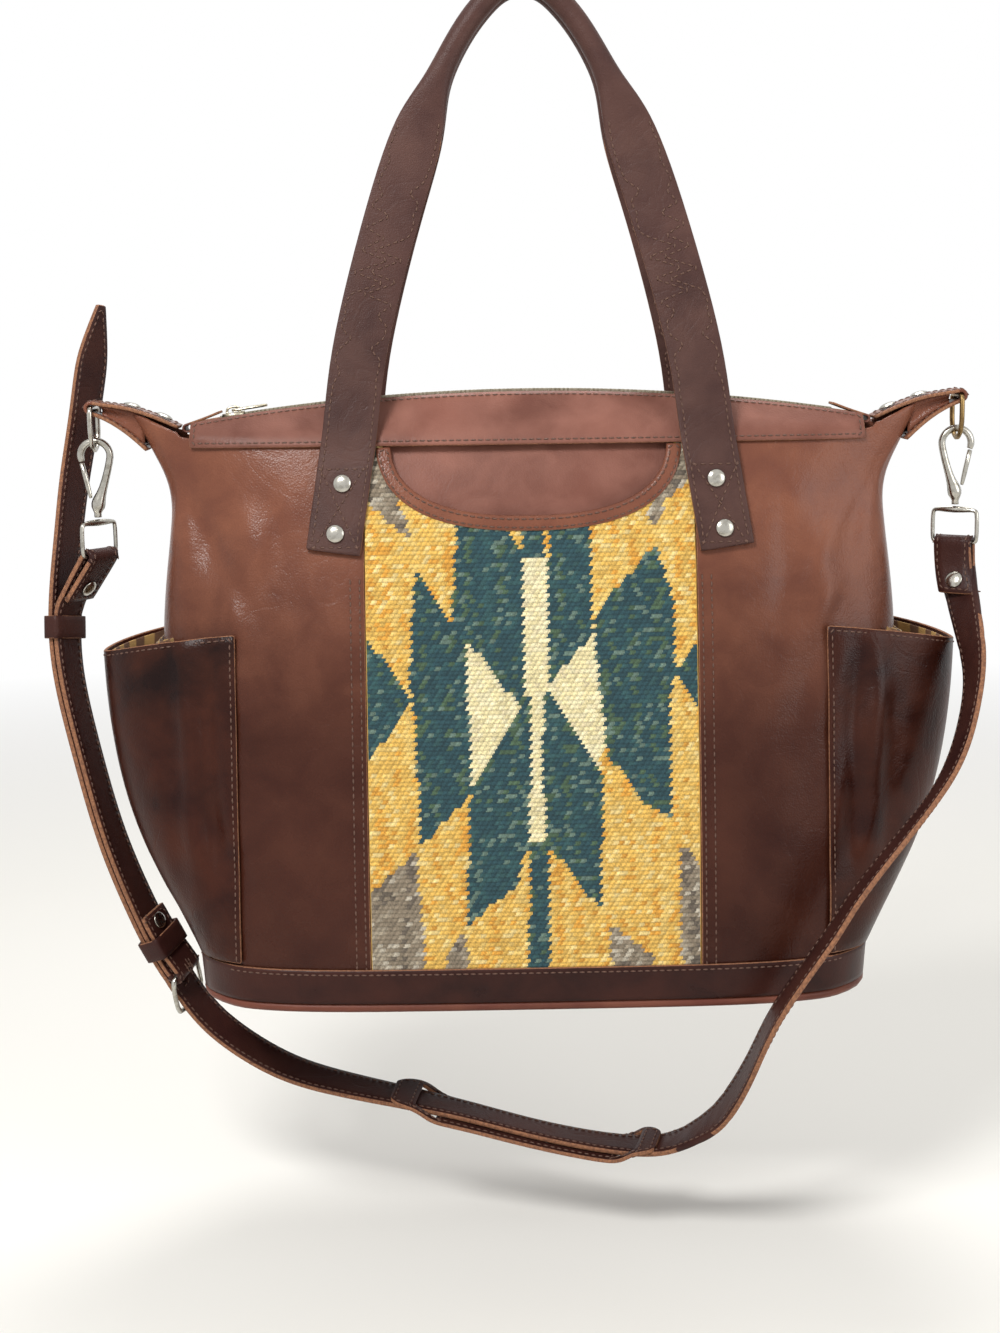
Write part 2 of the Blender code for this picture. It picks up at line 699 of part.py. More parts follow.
def handle_path():
    # right half from the apex down: x, z and how flat the strap is, from 0 (tube) to 1 (flat)
    r = HANDLE_TUBE_RADIUS
    top = [(0.0, r, 0), (0.0110, r - 0.0022, 0), (0.0205, r - 0.0105, 0), (0.0310, r - 0.0230, 0),
           (0.0410, r - 0.0400, 0.0), (0.0475, r - 0.0535, 0.12), (0.0535, r - 0.0675, 0.62),
           (0.0600, r - 0.0860, 1.0), (0.0720, r - 0.1210, 1.0), (0.0865, r - 0.1720, 1.0),
           (0.0945, r - 0.2080, 1.0)]
    return top


def handle_x(z):
    return HANDLE_RIM_X + (RIM - z) * HANDLE_SPREAD


def foot_heights():
    # the foot lies flat under each rivet
    zs = [RIM + 0.004, RIM - 0.006]
    for z in HANDLE_RIVET_HEIGHTS:
        zs += [z + RIVET_RADIUS, z - RIVET_RADIUS]
    return zs + [HANDLE_FOOT]


def foot_point(z, offset=0.0):
    return front_point(handle_x(z), z, handle_lift(z) + HANDLE_LEATHER / 2 + offset)


def handle_stations():
    top = handle_path()
    low = foot_heights()
    lap = foot_point(low[1])
    stations = []
    start = -HANDLE_APART / 2
    for x, z, flat in top + [(handle_x(low[0]), low[0], 1.0)]:
        share = (top[0][1] - z) / (top[0][1] - lap.z)
        y = start + (lap.y - start) * share ** 1.6
        stations.append((Vector((x, y, z)), flat, Vector((0, -1, 0))))
    for z in low[1:]:
        stations.append((foot_point(z), 1.0, front_normal(handle_x(z), z)))
    return stations


def handle_section(point, tangent, normal, flat):
    # eight-sided section that opens from a round tube into a flat strap
    normal = (normal - tangent * normal.dot(tangent)).normalized()
    across = tangent.cross(normal)
    loop = []
    for k in range(8):
        angle = math.radians(22.5 + 45 * k)
        c, s = math.cos(angle), math.sin(angle)
        tube = Vector((HANDLE_TUBE_RADIUS * c, HANDLE_TUBE_RADIUS * s))
        corner = 1.0 if abs(c) > abs(s) else 0.94
        strap = Vector((math.copysign(HANDLE_WIDTH / 2 * corner, c),
                        math.copysign(HANDLE_LEATHER / 2 * (0.6 if corner == 1.0 else 1.0), s)))
        u, n = tube.lerp(strap, flat)
        loop.append(point + across * u + normal * n)
    return loop


def handle(name, back=False):
    right = handle_stations()
    left = [(Vector((-p.x, p.y, p.z)), flat, Vector((-n.x, n.y, n.z))) for p, flat, n in reversed(right[1:])]
    stations = left + right
    loops = []
    for k, (point, flat, normal) in enumerate(stations):
        ahead = stations[min(k + 1, len(stations) - 1)][0]
        behind = stations[max(k - 1, 0)][0]
        loops.append(handle_section(point, (ahead - behind).normalized(), normal, flat))
    if back:
        loops = [[Vector((p.x, -p.y, p.z)) for p in loop] for loop in loops]
    return finish(loft(name, loops), DARK_BROWN, 0.45)


def rivet(name, point, normal):
    # a shallow domed cap turned round its own axis
    profile = [(0, RIVET_HEIGHT), (RIVET_RADIUS * 0.6, RIVET_HEIGHT * 0.88), (RIVET_RADIUS, RIVET_HEIGHT * 0.3),
               (RIVET_RADIUS, 0), (0, 0)]
    mesh = bpy.data.meshes.new(name)
    mesh.from_pydata([(x, 0, z) for x, z in profile], [(k, k + 1) for k in range(4)], [])
    cap = add_object(name, mesh)
    turn = cap.modifiers.new("turn", "SCREW")
    turn.steps = turn.render_steps = 10
    turn.use_merge_vertices = True
    turn.merge_threshold = 1e-5
    cap.location = point + normal * GAP
    cap.rotation_euler = normal.to_track_quat("Z", "Y").to_euler()
    return finish(cap, NICKEL, 0.3, 1.0)


def handle_rivets():
    for level, z in zip(("upper", "lower"), HANDLE_RIVET_HEIGHTS):
        above, below = foot_point(z + RIVET_RADIUS), foot_point(z - RIVET_RADIUS)
        along = (below - above).normalized()
        normal = front_normal(handle_x(z), z)
        normal = (normal - along * normal.dot(along)).normalized()
        point = above.lerp(below, 0.5) + normal * (HANDLE_LEATHER / 2 + GAP)
        for side, hand in ((-1, "left"), (1, "right")):
            for turn, face in ((1, "front"), (-1, "back")):
                flip = Vector((side, turn, 1))
                rivet("handle_rivet_%s_%s_%s" % (face, hand, level), point * flip, normal * flip)


# Wings and D-rings

def wing_leaf(start, end, steps, lift):
    out = []
    for s in heights(start, end, steps):
        x, z = wing_point(s)
        out.append((x - lift * math.sin(WING_TILT), z + lift * math.cos(WING_TILT)))
    return out


def ring_centre():
    return wing_point(1.0)


def wing_tab(name, side):
    # upper leaf, fold round the ring's bar, lower leaf down to its seat under the drawn-out edge
    spread = LEATHER / 2 + GAP + WING_LEATHER / 2
    fold = RING_WIRE + GAP + WING_LEATHER / 2
    tilt = math.degrees(WING_TILT)
    turn = arc(ring_centre(), fold, tilt + 90, tilt - 90, 8)
    start = Vector(turn[-1])
    lip = Vector(wing_lip())
    foot = Vector((body_size(RIM - WING_LIP_DROP)[0], RIM - WING_LIP_DROP))
    out = Vector((lip.y - foot.y, foot.x - lip.x)).normalized()
    seat = lip.lerp(foot, 0.5) + out * (WING_LEATHER / 2 + 2 * GAP)
    control = start - Vector((math.cos(WING_TILT), math.sin(WING_TILT))) * 0.016
    lower = [start.lerp(control, t).lerp(control.lerp(seat, t), t) for t in heights(0.2, 1.0, 5)]
    path = wing_leaf(0.0, 0.90, 7, spread) + turn + lower
    return strip(name, [(side * p[0], p[1]) for p in path], WING_HALF_WIDTH, WING_LEATHER, DARK_BROWN)


def wing_rivets():
    lift = LEATHER / 2 + GAP + WING_LEATHER + GAP
    for side, word in ((-1, "left"), (1, "right")):
        for s, place in zip(WING_RIVET_SHARES, ("inner", "outer")):
            x, z = wing_point(s)
            a, b = wing_point(s - 0.1), wing_point(s + 0.1)
            normal = Vector((-(b[1] - a[1]), 0, b[0] - a[0])).normalized()
            point = Vector((x, 0, z)) + normal * lift
            rivet("wing_rivet_%s_%s" % (word, place), point * Vector((side, 1, 1)), normal * Vector((side, 1, 1)))


def d_ring(name, side):
    # a straight bar in the tab's fold and a round bow below it
    x, z = ring_centre()
    w, r = RING_HALF_WIDTH, RING_HALF_WIDTH
    bow = arc((0, -(RING_DROP - r)), r, 0, -180, 12)
    path = [(0, -w + 0.001, 0), (0, 0, 0), (0, w - 0.001, 0), (0, w, -0.0012)]
    path += [(0, y, h) for y, h in bow] + [(0, -w, -0.0012)]
    ring = wire(name, path, RING_WIRE, cyclic=True, sides=1)
    ring.location = (side * x, 0, z)
    return finish(ring, NICKEL, 0.25, 1.0)


# Swivel hooks

def hook_pivot(side):
    # middle of the hook's pivot block, on the swivel's axis
    x, z = ring_centre()
    low_wire = z - RING_DROP
    bow_top = low_wire + RING_WIRE + HOOK_PLAY + HOOK_WIRE
    return Vector((side * x, 0, bow_top - HOOK_BOW_RADIUS - HOOK_BOW_RISE))


def hook_body(name, side):
    # one casting: neck, pivot block, rigid leg and bow, drawn with a changing radius
    r, c = HOOK_BOW_RADIUS, HOOK_BOW_RISE
    path = [(0, -HOOK_NECK_DROP, HOOK_NECK_RADIUS), (0, -HOOK_BLOCK_RADIUS - 0.0008, HOOK_NECK_RADIUS),
            (0, -HOOK_BLOCK_RADIUS + 0.0006, HOOK_BLOCK_RADIUS * 0.8), (0.0004, 0.0, HOOK_BLOCK_RADIUS),
            (0.0014, 0.0034, HOOK_BLOCK_RADIUS * 0.8), (0.0034, 0.0080, HOOK_WIRE * 1.1),
            (r * 0.78, c * 0.68, HOOK_WIRE)]
    path += [(x, z, HOOK_WIRE) for x, z in arc((0, c), r, -14, 190, 12)]
    path.append((-r * 0.90, c - NOSE_DROP, HOOK_WIRE * 0.8))
    points = [(-side * x, 0, z) for x, z, _ in path]
    hook = wire(name, points, 1.0, weights=[w for _, _, w in path], sides=1)
    hook.location = hook_pivot(side)
    return finish(hook, NICKEL, 0.22, 1.0)


def gate_hinge(side):
    # the gate turns beside the pivot block, on the hook's outer side
    return hook_pivot(side) + Vector((side * 0.0035, 0, 0.0035))


def hook_gate(name, side):
    r, c = HOOK_BOW_RADIUS, HOOK_BOW_RISE
    tip = hook_pivot(side) + Vector((side * r * 0.93, 0, c - NOSE_DROP - 2 * GAP)) - gate_hinge(side)
    hinge = gate_hinge(side)
    gate = wire(name, [Vector((0, 0, 0)), tip * 0.15, tip * 0.5, tip], GATE_WIRE, weights=[0.6, 1, 1, 1], sides=1)
    gate.location = hinge
    return finish(gate, NICKEL, 0.22, 1.0)


def hook_eye(name, side):
    # rectangular loop that the strap runs through, with a boss under the hook's neck
    w, h = EYE_HALF_WIDTH, EYE_HEIGHT
    c = 0.0025
    path = [(0, 0), (w - c, 0), (w - c * 0.3, -c * 0.3), (w, -c), (w, -h + c), (w - c * 0.3, -h + c * 0.3),
            (w - c, -h), (-w + c, -h), (-w + c * 0.3, -h + c * 0.3), (-w, -h + c), (-w, -c),
            (-w + c * 0.3, -c * 0.3), (-w + c, 0)]
    weights = [EYE_BOSS] + [1.0] * (len(path) - 1)
    across = eye_across(side)
    points = [across * x + Vector((0, 0, z)) for x, z in path]
    eye = wire(name, points, EYE_WIRE, cyclic=True, weights=weights, sides=1)
    eye.location = eye_top(side)
    return finish(eye, NICKEL, 0.22, 1.0)


def eye_top(side):
    return hook_pivot(side) - Vector((0, 0, HOOK_NECK_DROP + GAP + EYE_WIRE * EYE_BOSS))


def eye_across(side):
    # the way a hook eye's bar lies, turned by the strap's pull
    return Vector((0.55, 0.835, 0)).normalized() if side < 0 else Vector((0.80, -0.60, 0)).normalized()


def eye_bar(side):
    return eye_top(side) - Vector((0, 0, EYE_HEIGHT))


# Shoulder strap

def ribbon(name, stations, width, thickness, colour=DARK_BROWN):
    # a flat strip through stations: a point, the way one face looks, and at a fold the way it lies across
    loops = []
    widths = width if isinstance(width, list) else [width] * len(stations)
    for k, station in enumerate(stations):
        point, facing = station[:2]
        tangent = (stations[min(k + 1, len(stations) - 1)][0] - stations[max(k - 1, 0)][0]).normalized()
        normal = (facing - tangent * facing.dot(tangent)).normalized()
        across = station[2] if len(station) > 2 else tangent.cross(normal)
        across = across * widths[k] / 2
        half = normal * thickness / 2
        loops.append([point - across - half, point + across - half, point + across + half, point - across + half])
    return finish(loft(name, loops), colour, 0.45)


def eye_fold(side):
    # stations of a strap's fold over the hook eye's bar, from its inner to its outer side
    along = eye_across(side)
    out = along.cross(Vector((0, 0, 1)))
    radius = EYE_WIRE + GAP + STRAP_LEATHER / 2
    lean = STRAP_LEAN if side < 0 else 0.0
    radials = [out * c + Vector((0, 0, s)) for c, s in arc((0, 0), 1.0, -lean, 180 - lean, 6)]
    return [(eye_bar(side) + radial * radius, -radial, -along) for radial in radials]


def strap_run():
    # the long strap's route, from its tail past the buckle and under the bag to the right hook
    route = (
        ((-0.2430, 0.0320, -0.1630), (0.75, -0.66, 0.0)), ((-0.2496, 0.0320, -0.1942), (0.75, -0.66, 0.0)),
        ((-0.2556, 0.0310, -0.2285), (0.78, -0.62, 0.0)), ((-0.2619, 0.0260, -0.2629), (0.82, -0.57, 0.0)),
        ((-0.2655, 0.0170, -0.2970), (0.85, -0.52, 0.0)), ((-0.2689, 0.0080, -0.3365), (0.86, -0.50, 0.1)),
        ((-0.2678, 0.0030, -0.3724), (0.90, -0.40, 0.2)), ((-0.2591, 0.0010, -0.4175), (0.90, -0.36, 0.3)),
        ((-0.2465, 0.0010, -0.4709), (0.88, -0.38, 0.3)), ((-0.2300, 0.0030, -0.5163), (0.82, -0.42, 0.3)),
        ((-0.2195, 0.0050, -0.5397), (0.78, -0.46, 0.35)), ((-0.2049, 0.0080, -0.5656), (0.66, -0.46, 0.5)),
        ((-0.1885, 0.0080, -0.5869), (0.52, -0.46, 0.65)), ((-0.1607, 0.0040, -0.6062), (0.38, -0.44, 0.8)),
        ((-0.1306, -0.0040, -0.6169), (0.26, -0.36, 0.9)), ((-0.0841, -0.0120, -0.6257), (0.16, -0.22, 1.0)),
        ((-0.0433, -0.0200, -0.6328), (0.14, -0.10, 1.0)), ((-0.0037, -0.0300, -0.6407), (0.12, -0.06, 1.0)),
        ((0.0366, -0.0400, -0.6460), (0.04, -0.06, 1.0)), ((0.0705, -0.0500, -0.6449), (-0.12, -0.10, 1.0)),
        ((0.0924, -0.0620, -0.6304), (-0.6, -0.16, 0.8)), ((0.1056, -0.0730, -0.6137), (-0.80, -0.20, 0.5)),
        ((0.1177, -0.0880, -0.5833), (-0.92, -0.06, 0.35)), ((0.1297, -0.0980, -0.5496), (-0.93, 0.0, 0.35)),
        ((0.1589, -0.0985, -0.5071), (-0.90, 0.0, 0.4)), ((0.1728, -0.0980, -0.4840), (-0.90, 0.0, 0.42)),
        ((0.2037, -0.0860, -0.4503), (-0.85, -0.02, 0.45)), ((0.2235, -0.0700, -0.4321), (-0.86, -0.06, 0.4)),
        ((0.2370, -0.0560, -0.4129), (-0.93, -0.12, 0.25)), ((0.2455, -0.0450, -0.3887), (-0.97, -0.18, 0.1)),
        ((0.2490, -0.0350, -0.3683), (-0.93, -0.34, 0.0)), ((0.2480, -0.0220, -0.3480), (-0.83, -0.56, 0.0)),
    )
    outer, facing = eye_fold(1)[-1][:2]
    points = [Vector(p) for p, _ in route] + [outer + Vector((0.0004, -0.0020, -0.0160)), outer]
    looks = [Vector(n).normalized() for _, n in route] + [facing, facing]
    frames = []
    points, looks = smooth_curve(points, 2), smooth_curve(looks, 2)
    for k, point in enumerate(points):
        tangent = (points[min(k + 1, len(points) - 1)] - points[max(k - 1, 0)]).normalized()
        normal = (looks[k] - tangent * looks[k].dot(tangent)).normalized()
        frames.append((point, normal, tangent))
    return frames


def beside(frame, plies):
    # a station on the inner side of the long strap, some plies away
    point, normal, tangent = frame
    return point + normal * plies * PLY, normal, tangent.cross(normal)


def turned(station):
    return station[0], -station[1], station[2]


def left_index(run, height):
    # first point of the run's left stretch at or below a height
    return next(k for k, frame in enumerate(run) if frame[0].z <= height)


def frame_at(run, height):
    # the long strap's frame at a height on its left stretch
    k = left_index(run, height)
    a, b = run[k - 1], run[k]
    t = (a[0].z - height) / (a[0].z - b[0].z)
    return tuple(p.lerp(q, t) for p, q in zip(a, b))


def right_index(run, height):
    return next(k for k in range(len(run) - 1, 0, -1) if run[k][0].z <= height)


def right_end(run):
    # the long strap's end, back down its inner side from the fold over the right eye
    near = run[right_index(run, eye_bar(1).z - 0.008)]
    end = run[right_index(run, eye_bar(1).z - STRAP_SHORT_END)]
    return [turned((*beside(frame, plies)[:2], eye_across(1))) for frame, plies in ((near, 1.4), (end, 1.15))]


def strap_long(run):
    fold = [(point, facing, -across) for point, facing, across in reversed(eye_fold(1))]
    stations = [frame[:2] for frame in run[:-1]] + fold + right_end(run)
    widths = [0.0050, 0.0140] + [STRAP_WIDTH] * (len(stations) - 2)
    return ribbon("strap_long", stations, widths, STRAP_LEATHER)


def left_lead(run):
    # the short strap's way down from the left eye to the long strap's side
    outer, facing = eye_fold(-1)[-1][:2]
    start = beside(run[left_index(run, STRAPS_MEET)], 1)[0]
    return [outer.lerp(start, t) - facing * bow for t, bow in ((0.25, 0.0004), (0.5, 0.0006), (0.75, 0.0004))]


def left_end(run):
    # its end, back down the inner side
    facing = eye_fold(-1)[0][1]
    lead = left_lead(run)
    return [(lead[k] - facing * PLY * plies, facing, -eye_across(-1)) for k, plies in ((2, 1.15), (0, 1.6))]


def heel_index(run):
    # the strap's station at the buckle's heel
    return left_index(run, BUCKLE_HEIGHT)


def buckle_bars(run):
    # middles of the buckle's heel bar and far bar, and the strap's directions at the heel
    k = heel_index(run)
    _, normal, tangent = run[k]
    heel = beside(run[k], 1.5)[0] + normal * (GAP + BUCKLE_WIRE)
    beyond = left_index(run, BUCKLE_HEIGHT - BUCKLE_LENGTH * 0.8)
    far = run[beyond][0] - run[beyond][1] * (STRAP_LEATHER / 2 + BUCKLE_WIRE + 3 * GAP)
    far += run[beyond][2] * (BUCKLE_LENGTH - (far - heel).length)
    return heel, far, normal, tangent


def buckle_end(run):
    # the short strap's end, back up from its fold round the heel bar
    k = heel_index(run)
    return [turned(beside(run[k - step], plies)) for step, plies in ((1, 2.55), (2, 2.25), (3, 2.1))]


def strap_short(run):
    # from its fold over the left eye, beside the long strap, to its fold round the heel bar
    fold = eye_fold(-1)
    facing = fold[-1][1]
    stations = left_end(run) + fold + [(point, facing) for point in left_lead(run)]
    top = left_index(run, STRAPS_MEET)
    stations += [beside(frame, 1) for frame in run[top:heel_index(run)]]
    heel, _, normal, tangent = buckle_bars(run)
    radius = BUCKLE_WIRE + GAP + STRAP_LEATHER / 2
    for c, s in arc((0, 0), radius, 180, 0, 6):
        point = heel + normal * c + tangent * s
        stations.append((point, (heel - point).normalized()))
    return ribbon("strap_short", stations + buckle_end(run), STRAP_WIDTH, STRAP_LEATHER)


def keeper(name, frame, top_ply):
    # closed leather band round the long strap and the plies above it, its width along them
    _, normal, tangent = frame
    across = tangent.cross(normal)
    w = STRAP_WIDTH / 2 + 4 * GAP
    low = -STRAP_LEATHER / 2 - 2 * GAP
    high = top_ply * PLY - low
    c, t = 0.0012, KEEPER_LEATHER
    corners = ((w - c, high), (w, high - c), (w, low + c), (w - c, low),
               (-w + c, low), (-w, low + c), (-w, high - c), (-w + c, high))
    centre = frame[0]
    middle = (low + high) / 2
    loops = []
    for x, y in corners:
        inner = centre + across * x + normal * y
        outer = inner + across * math.copysign(t, x) + normal * math.copysign(t, y - middle)
        half = tangent * KEEPER_WIDTH / 2
        loops.append([inner - half, outer - half, outer + half, inner + half])
    return finish(loft(name, loops, closed=True), DARK_BROWN, 0.45)


def buckle_frame(run):
    heel, far, normal, tangent = buckle_bars(run)
    across = tangent.cross(normal)
    reach = far - heel
    c = 0.0030
    share = c / reach.length
    w = BUCKLE_HALF_WIDTH
    half = [heel + across * x + reach * s for x, s in ((w - c, 0), (w, share), (w, 1 - share), (w - c, 1))]
    path = half + [p - 2 * across * (p - heel).dot(across) for p in reversed(half)]
    return finish(wire("buckle_frame", path, BUCKLE_WIRE, cyclic=True, sides=1), NICKEL, 0.25, 1.0)


def tongue_path(run):
    # hooked over the heel bar, through both straps and out over the far bar
    heel, far, normal, tangent = buckle_bars(run)
    down = (far - heel).normalized()
    away = (normal - down * normal.dot(down)).normalized()
    ring = BUCKLE_WIRE + GAP + TONGUE_WIRE
    hook = [heel + down * c + away * s for c, s in arc((0, 0), ring, 90, 270, 8)]
    return hook + [far - away * ring, far - away * ring + down * TONGUE_WIRE]


def shoulder_pad(run):
    # a broad strip with two slots: the strap runs under its ends and over its middle
    first = next(k for k, frame in enumerate(run) if frame[0].x >= PAD_LEFT)
    last = next(k for k, frame in enumerate(run) if frame[0].x >= PAD_RIGHT)
    slot_end = PAD_SLOT_START + PAD_SLOT
    ends = ((0.0, 0.55), (0.03, 0.88), (PAD_SLOT_START, 1.0), (slot_end, 1.0))
    shares = {share: width for share, width in ends}
    shares.update({1 - share: width for share, width in ends})
    for k in range(first + 1, last):
        share = (k - first) / (last - first)
        if min(abs(share - other) for other in shares) > 0.015:
            shares[share] = 1.0
    lift = STRAP_LEATHER / 2 + 2 * GAP + PAD_LEATHER / 2
    rows = []
    for share in sorted(shares):
        at = first + share * (last - first)
        k = min(int(at), last - 1)
        a, b = run[k], run[k + 1]
        point = a[0].lerp(b[0], at - k)
        normal = a[1].lerp(b[1], at - k).normalized()
        across = a[2].cross(normal).normalized()
        outer = PAD_WIDTH / 2 * shares[share]
        inner = min(PAD_SLOT_WIDTH / 2, outer * 0.9)
        crossing = (min(share, 1 - share) - PAD_SLOT_START) / PAD_SLOT
        side = 1 - 2 * min(max(crossing, 0.0), 1.0)
        rows.append([point + across * w + normal * lift * side for w in (-outer, -inner, 0, inner, outer)])
    pad = sheet("shoulder_pad", rows)
    shape = bmesh.new()
    shape.from_mesh(pad.data)
    shape.faces.ensure_lookup_table()
    slots = []
    for row, share in enumerate(sorted(shares)[:-1]):
        middle = (share + sorted(shares)[row + 1]) / 2
        if PAD_SLOT_START < min(middle, 1 - middle) < slot_end:
            slots += [shape.faces[row * 4 + column] for column in (1, 2)]
    bmesh.ops.delete(shape, geom=slots, context="FACES")
    shape.to_mesh(pad.data)
    shape.free()
    return finish(thicken(pad, PAD_LEATHER, 0.0), DARK_BROWN, 0.45)


def strap_rivets(run):
    # one through each fold's short end
    ends = {"left": left_end(run), "right": right_end(run), "buckle": buckle_end(run)[1:]}
    for word, stations in ends.items():
        (a, facing, across), (b, _, _) = stations
        normal = (b - a).cross(across).normalized()
        normal *= -math.copysign(1.0, normal.dot(facing))
        rivet("strap_rivet_" + word, a.lerp(b, 0.5) + normal * (STRAP_LEATHER / 2 + GAP), normal)


def shoulder_strap():
    run = strap_run()
    long_strap, short_strap = strap_long(run), strap_short(run)
    path = tongue_path(run)
    slot_path = [path[0] * 2 - path[1]] + path + [path[-1] * 2 - path[-2]]
    slot = as_mesh("tongue_slot", wire("slot", slot_path, TONGUE_WIRE + 1.5 * GAP, sides=1), cutters)
    for strap in (long_strap, short_strap):
        cut(strap, slot)
    finish(wire("buckle_tongue", path, TONGUE_WIRE, sides=1), NICKEL, 0.25, 1.0)
    buckle_frame(run)
    keeper("keeper_loose", frame_at(run, KEEPER_LOOSE_HEIGHT), 1.12)
    keeper("keeper_fixed", frame_at(run, KEEPER_FIXED_HEIGHT), 2.55)
    shoulder_pad(run)
    strap_rivets(run)


def main():
    clear_scene()
    side_panel("left_side_panel", -1)
    side_panel("right_side_panel", 1)
    woven_panel()
    centre_patch("back_panel", [PANEL_HEM] + heights(BAND_TOP, RIM, 9), 0.0, back=True)
    behind = LEATHER + 3 * GAP + BINDING_LEATHER
    centre_patch("front_pocket_panel", heights(POCKET_PANEL_FOOT, RIM, 9), behind)
    scoop_binding()
    base_band()
    base_piping()
    bottom_panel()
    main_lining()
    zip_panel("front_zip_panel")
    zip_panel("back_zip_panel", back=True)
    zip_tape("zip_tape_front")
    zip_tape("zip_tape_back", back=True)
    zip_chain()
    zip_slider()
    zip_puller()
    for side, word in ((-1, "left"), (1, "right")):
        end_tab("zip_end_tab_" + word, side)
        side_pocket("side_pocket_" + word, side)
        pocket_lining("side_pocket_lining_" + word, side)
        wing_tab("wing_tab_" + word, side)
        d_ring("d_ring_" + word, side)
        hook_body("hook_body_" + word, side)
        hook_gate("hook_gate_" + word, side)
        hook_eye("hook_eye_" + word, side)
    handle("front_handle")
    handle("back_handle", back=True)
    handle_rivets()
    wing_rivets()
    shoulder_strap()


main()
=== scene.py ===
import json
import math
import random

import bmesh
import bpy
from mathutils import Matrix, Vector, noise
from mathutils.bvhtree import BVHTree

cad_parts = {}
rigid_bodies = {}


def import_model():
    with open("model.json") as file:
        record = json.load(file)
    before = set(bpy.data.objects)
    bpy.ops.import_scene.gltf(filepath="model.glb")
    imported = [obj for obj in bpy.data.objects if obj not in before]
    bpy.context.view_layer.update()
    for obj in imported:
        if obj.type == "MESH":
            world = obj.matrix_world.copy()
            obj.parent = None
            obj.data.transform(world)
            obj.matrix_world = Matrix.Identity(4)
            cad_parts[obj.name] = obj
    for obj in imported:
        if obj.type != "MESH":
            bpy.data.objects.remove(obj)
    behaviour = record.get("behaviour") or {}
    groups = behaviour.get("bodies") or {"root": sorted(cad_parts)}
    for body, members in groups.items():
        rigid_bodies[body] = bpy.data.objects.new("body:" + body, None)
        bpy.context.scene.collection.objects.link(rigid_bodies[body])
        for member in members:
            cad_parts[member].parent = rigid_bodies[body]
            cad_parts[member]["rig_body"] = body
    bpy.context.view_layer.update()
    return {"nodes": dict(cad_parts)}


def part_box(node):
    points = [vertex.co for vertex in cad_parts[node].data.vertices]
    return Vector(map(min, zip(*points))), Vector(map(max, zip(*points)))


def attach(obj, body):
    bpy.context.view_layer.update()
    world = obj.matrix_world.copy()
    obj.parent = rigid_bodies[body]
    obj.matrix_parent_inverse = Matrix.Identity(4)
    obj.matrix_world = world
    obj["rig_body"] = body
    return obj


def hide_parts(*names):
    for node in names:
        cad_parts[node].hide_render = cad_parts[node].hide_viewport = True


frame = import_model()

scene = bpy.context.scene
bodyOf = {name: thing["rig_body"] for name, thing in frame["nodes"].items()}


# Small helpers for shader trees

def newMaterial(name):
    material = bpy.data.materials.new(name)
    material.use_nodes = True
    tree = material.node_tree
    tree.nodes.clear()
    output = tree.nodes.new("ShaderNodeOutputMaterial")
    shader = tree.nodes.new("ShaderNodeBsdfPrincipled")
    tree.links.new(shader.outputs["BSDF"], output.inputs["Surface"])
    return material, tree, shader


def addNode(tree, kind, **values):
    node = tree.nodes.new(kind)
    for key, value in values.items():
        setattr(node, key, value)
    return node


def noiseNode(tree, vector, scale, detail=4.0, distortion=0.0):
    node = tree.nodes.new("ShaderNodeTexNoise")
    node.inputs["Scale"].default_value = scale
    node.inputs["Detail"].default_value = detail
    node.inputs["Distortion"].default_value = distortion
    tree.links.new(vector, node.inputs["Vector"])
    return node.outputs["Fac"]


def ramp(tree, value, low, high, fromValue=0.0, toValue=1.0):
    node = tree.nodes.new("ShaderNodeMapRange")
    node.inputs["From Min"].default_value = low
    node.inputs["From Max"].default_value = high
    node.inputs["To Min"].default_value = fromValue
    node.inputs["To Max"].default_value = toValue
    tree.links.new(value, node.inputs["Value"])
    return node.outputs["Result"]


def mathNode(tree, operation, first, second):
    node = addNode(tree, "ShaderNodeMath", operation=operation)
    for place, value in enumerate((first, second)):
        if isinstance(value, (int, float)):
            node.inputs[place].default_value = value
        else:
            tree.links.new(value, node.inputs[place])
    return node.outputs[0]


def mixColour(tree, factor, first, second):
    node = addNode(tree, "ShaderNodeMix", data_type="RGBA")
    tree.links.new(factor, node.inputs["Factor"])
    for socket, value in ((node.inputs[6], first), (node.inputs[7], second)):
        if isinstance(value, tuple):
            socket.default_value = (*value, 1.0)
        else:
            tree.links.new(value, socket)
    return node.outputs[2]


def bumpInto(tree, shader, height, strength, distance):
    node = tree.nodes.new("ShaderNodeBump")
    node.inputs["Strength"].default_value = strength
    node.inputs["Distance"].default_value = distance
    tree.links.new(height, node.inputs["Height"])
    tree.links.new(node.outputs["Normal"], shader.inputs["Normal"])


# Leather surface: broad pull-up tone, mottling, fine grain and creases, and a painted top light

leatherLook = {
    "tone": (7.0, 3.0, 0.6),        # scale, detail and distortion of a noise
    "mottle": (42.0, 6.0, 0.3),
    "creases": (26.0, 4.0, 1.4),
    "creaseWidth": 0.05,
    "creaseHeight": 0.22,
    "pebbles": 950.0,
    "pebbleHeight": 0.35,
    "mottleHeight": 0.9,
    "worn": 0.55,
    "toneUnderPaintedLight": 0.20,             # shares of tone, height and wear under the painted top light, paler at the rim and in painted shade at the belly
    "paintedTopLight": 0.76,
    "wornInPaintedShade": 0.14,
    "specular": 0.16,
    "bumpDistance": 0.0006,
}


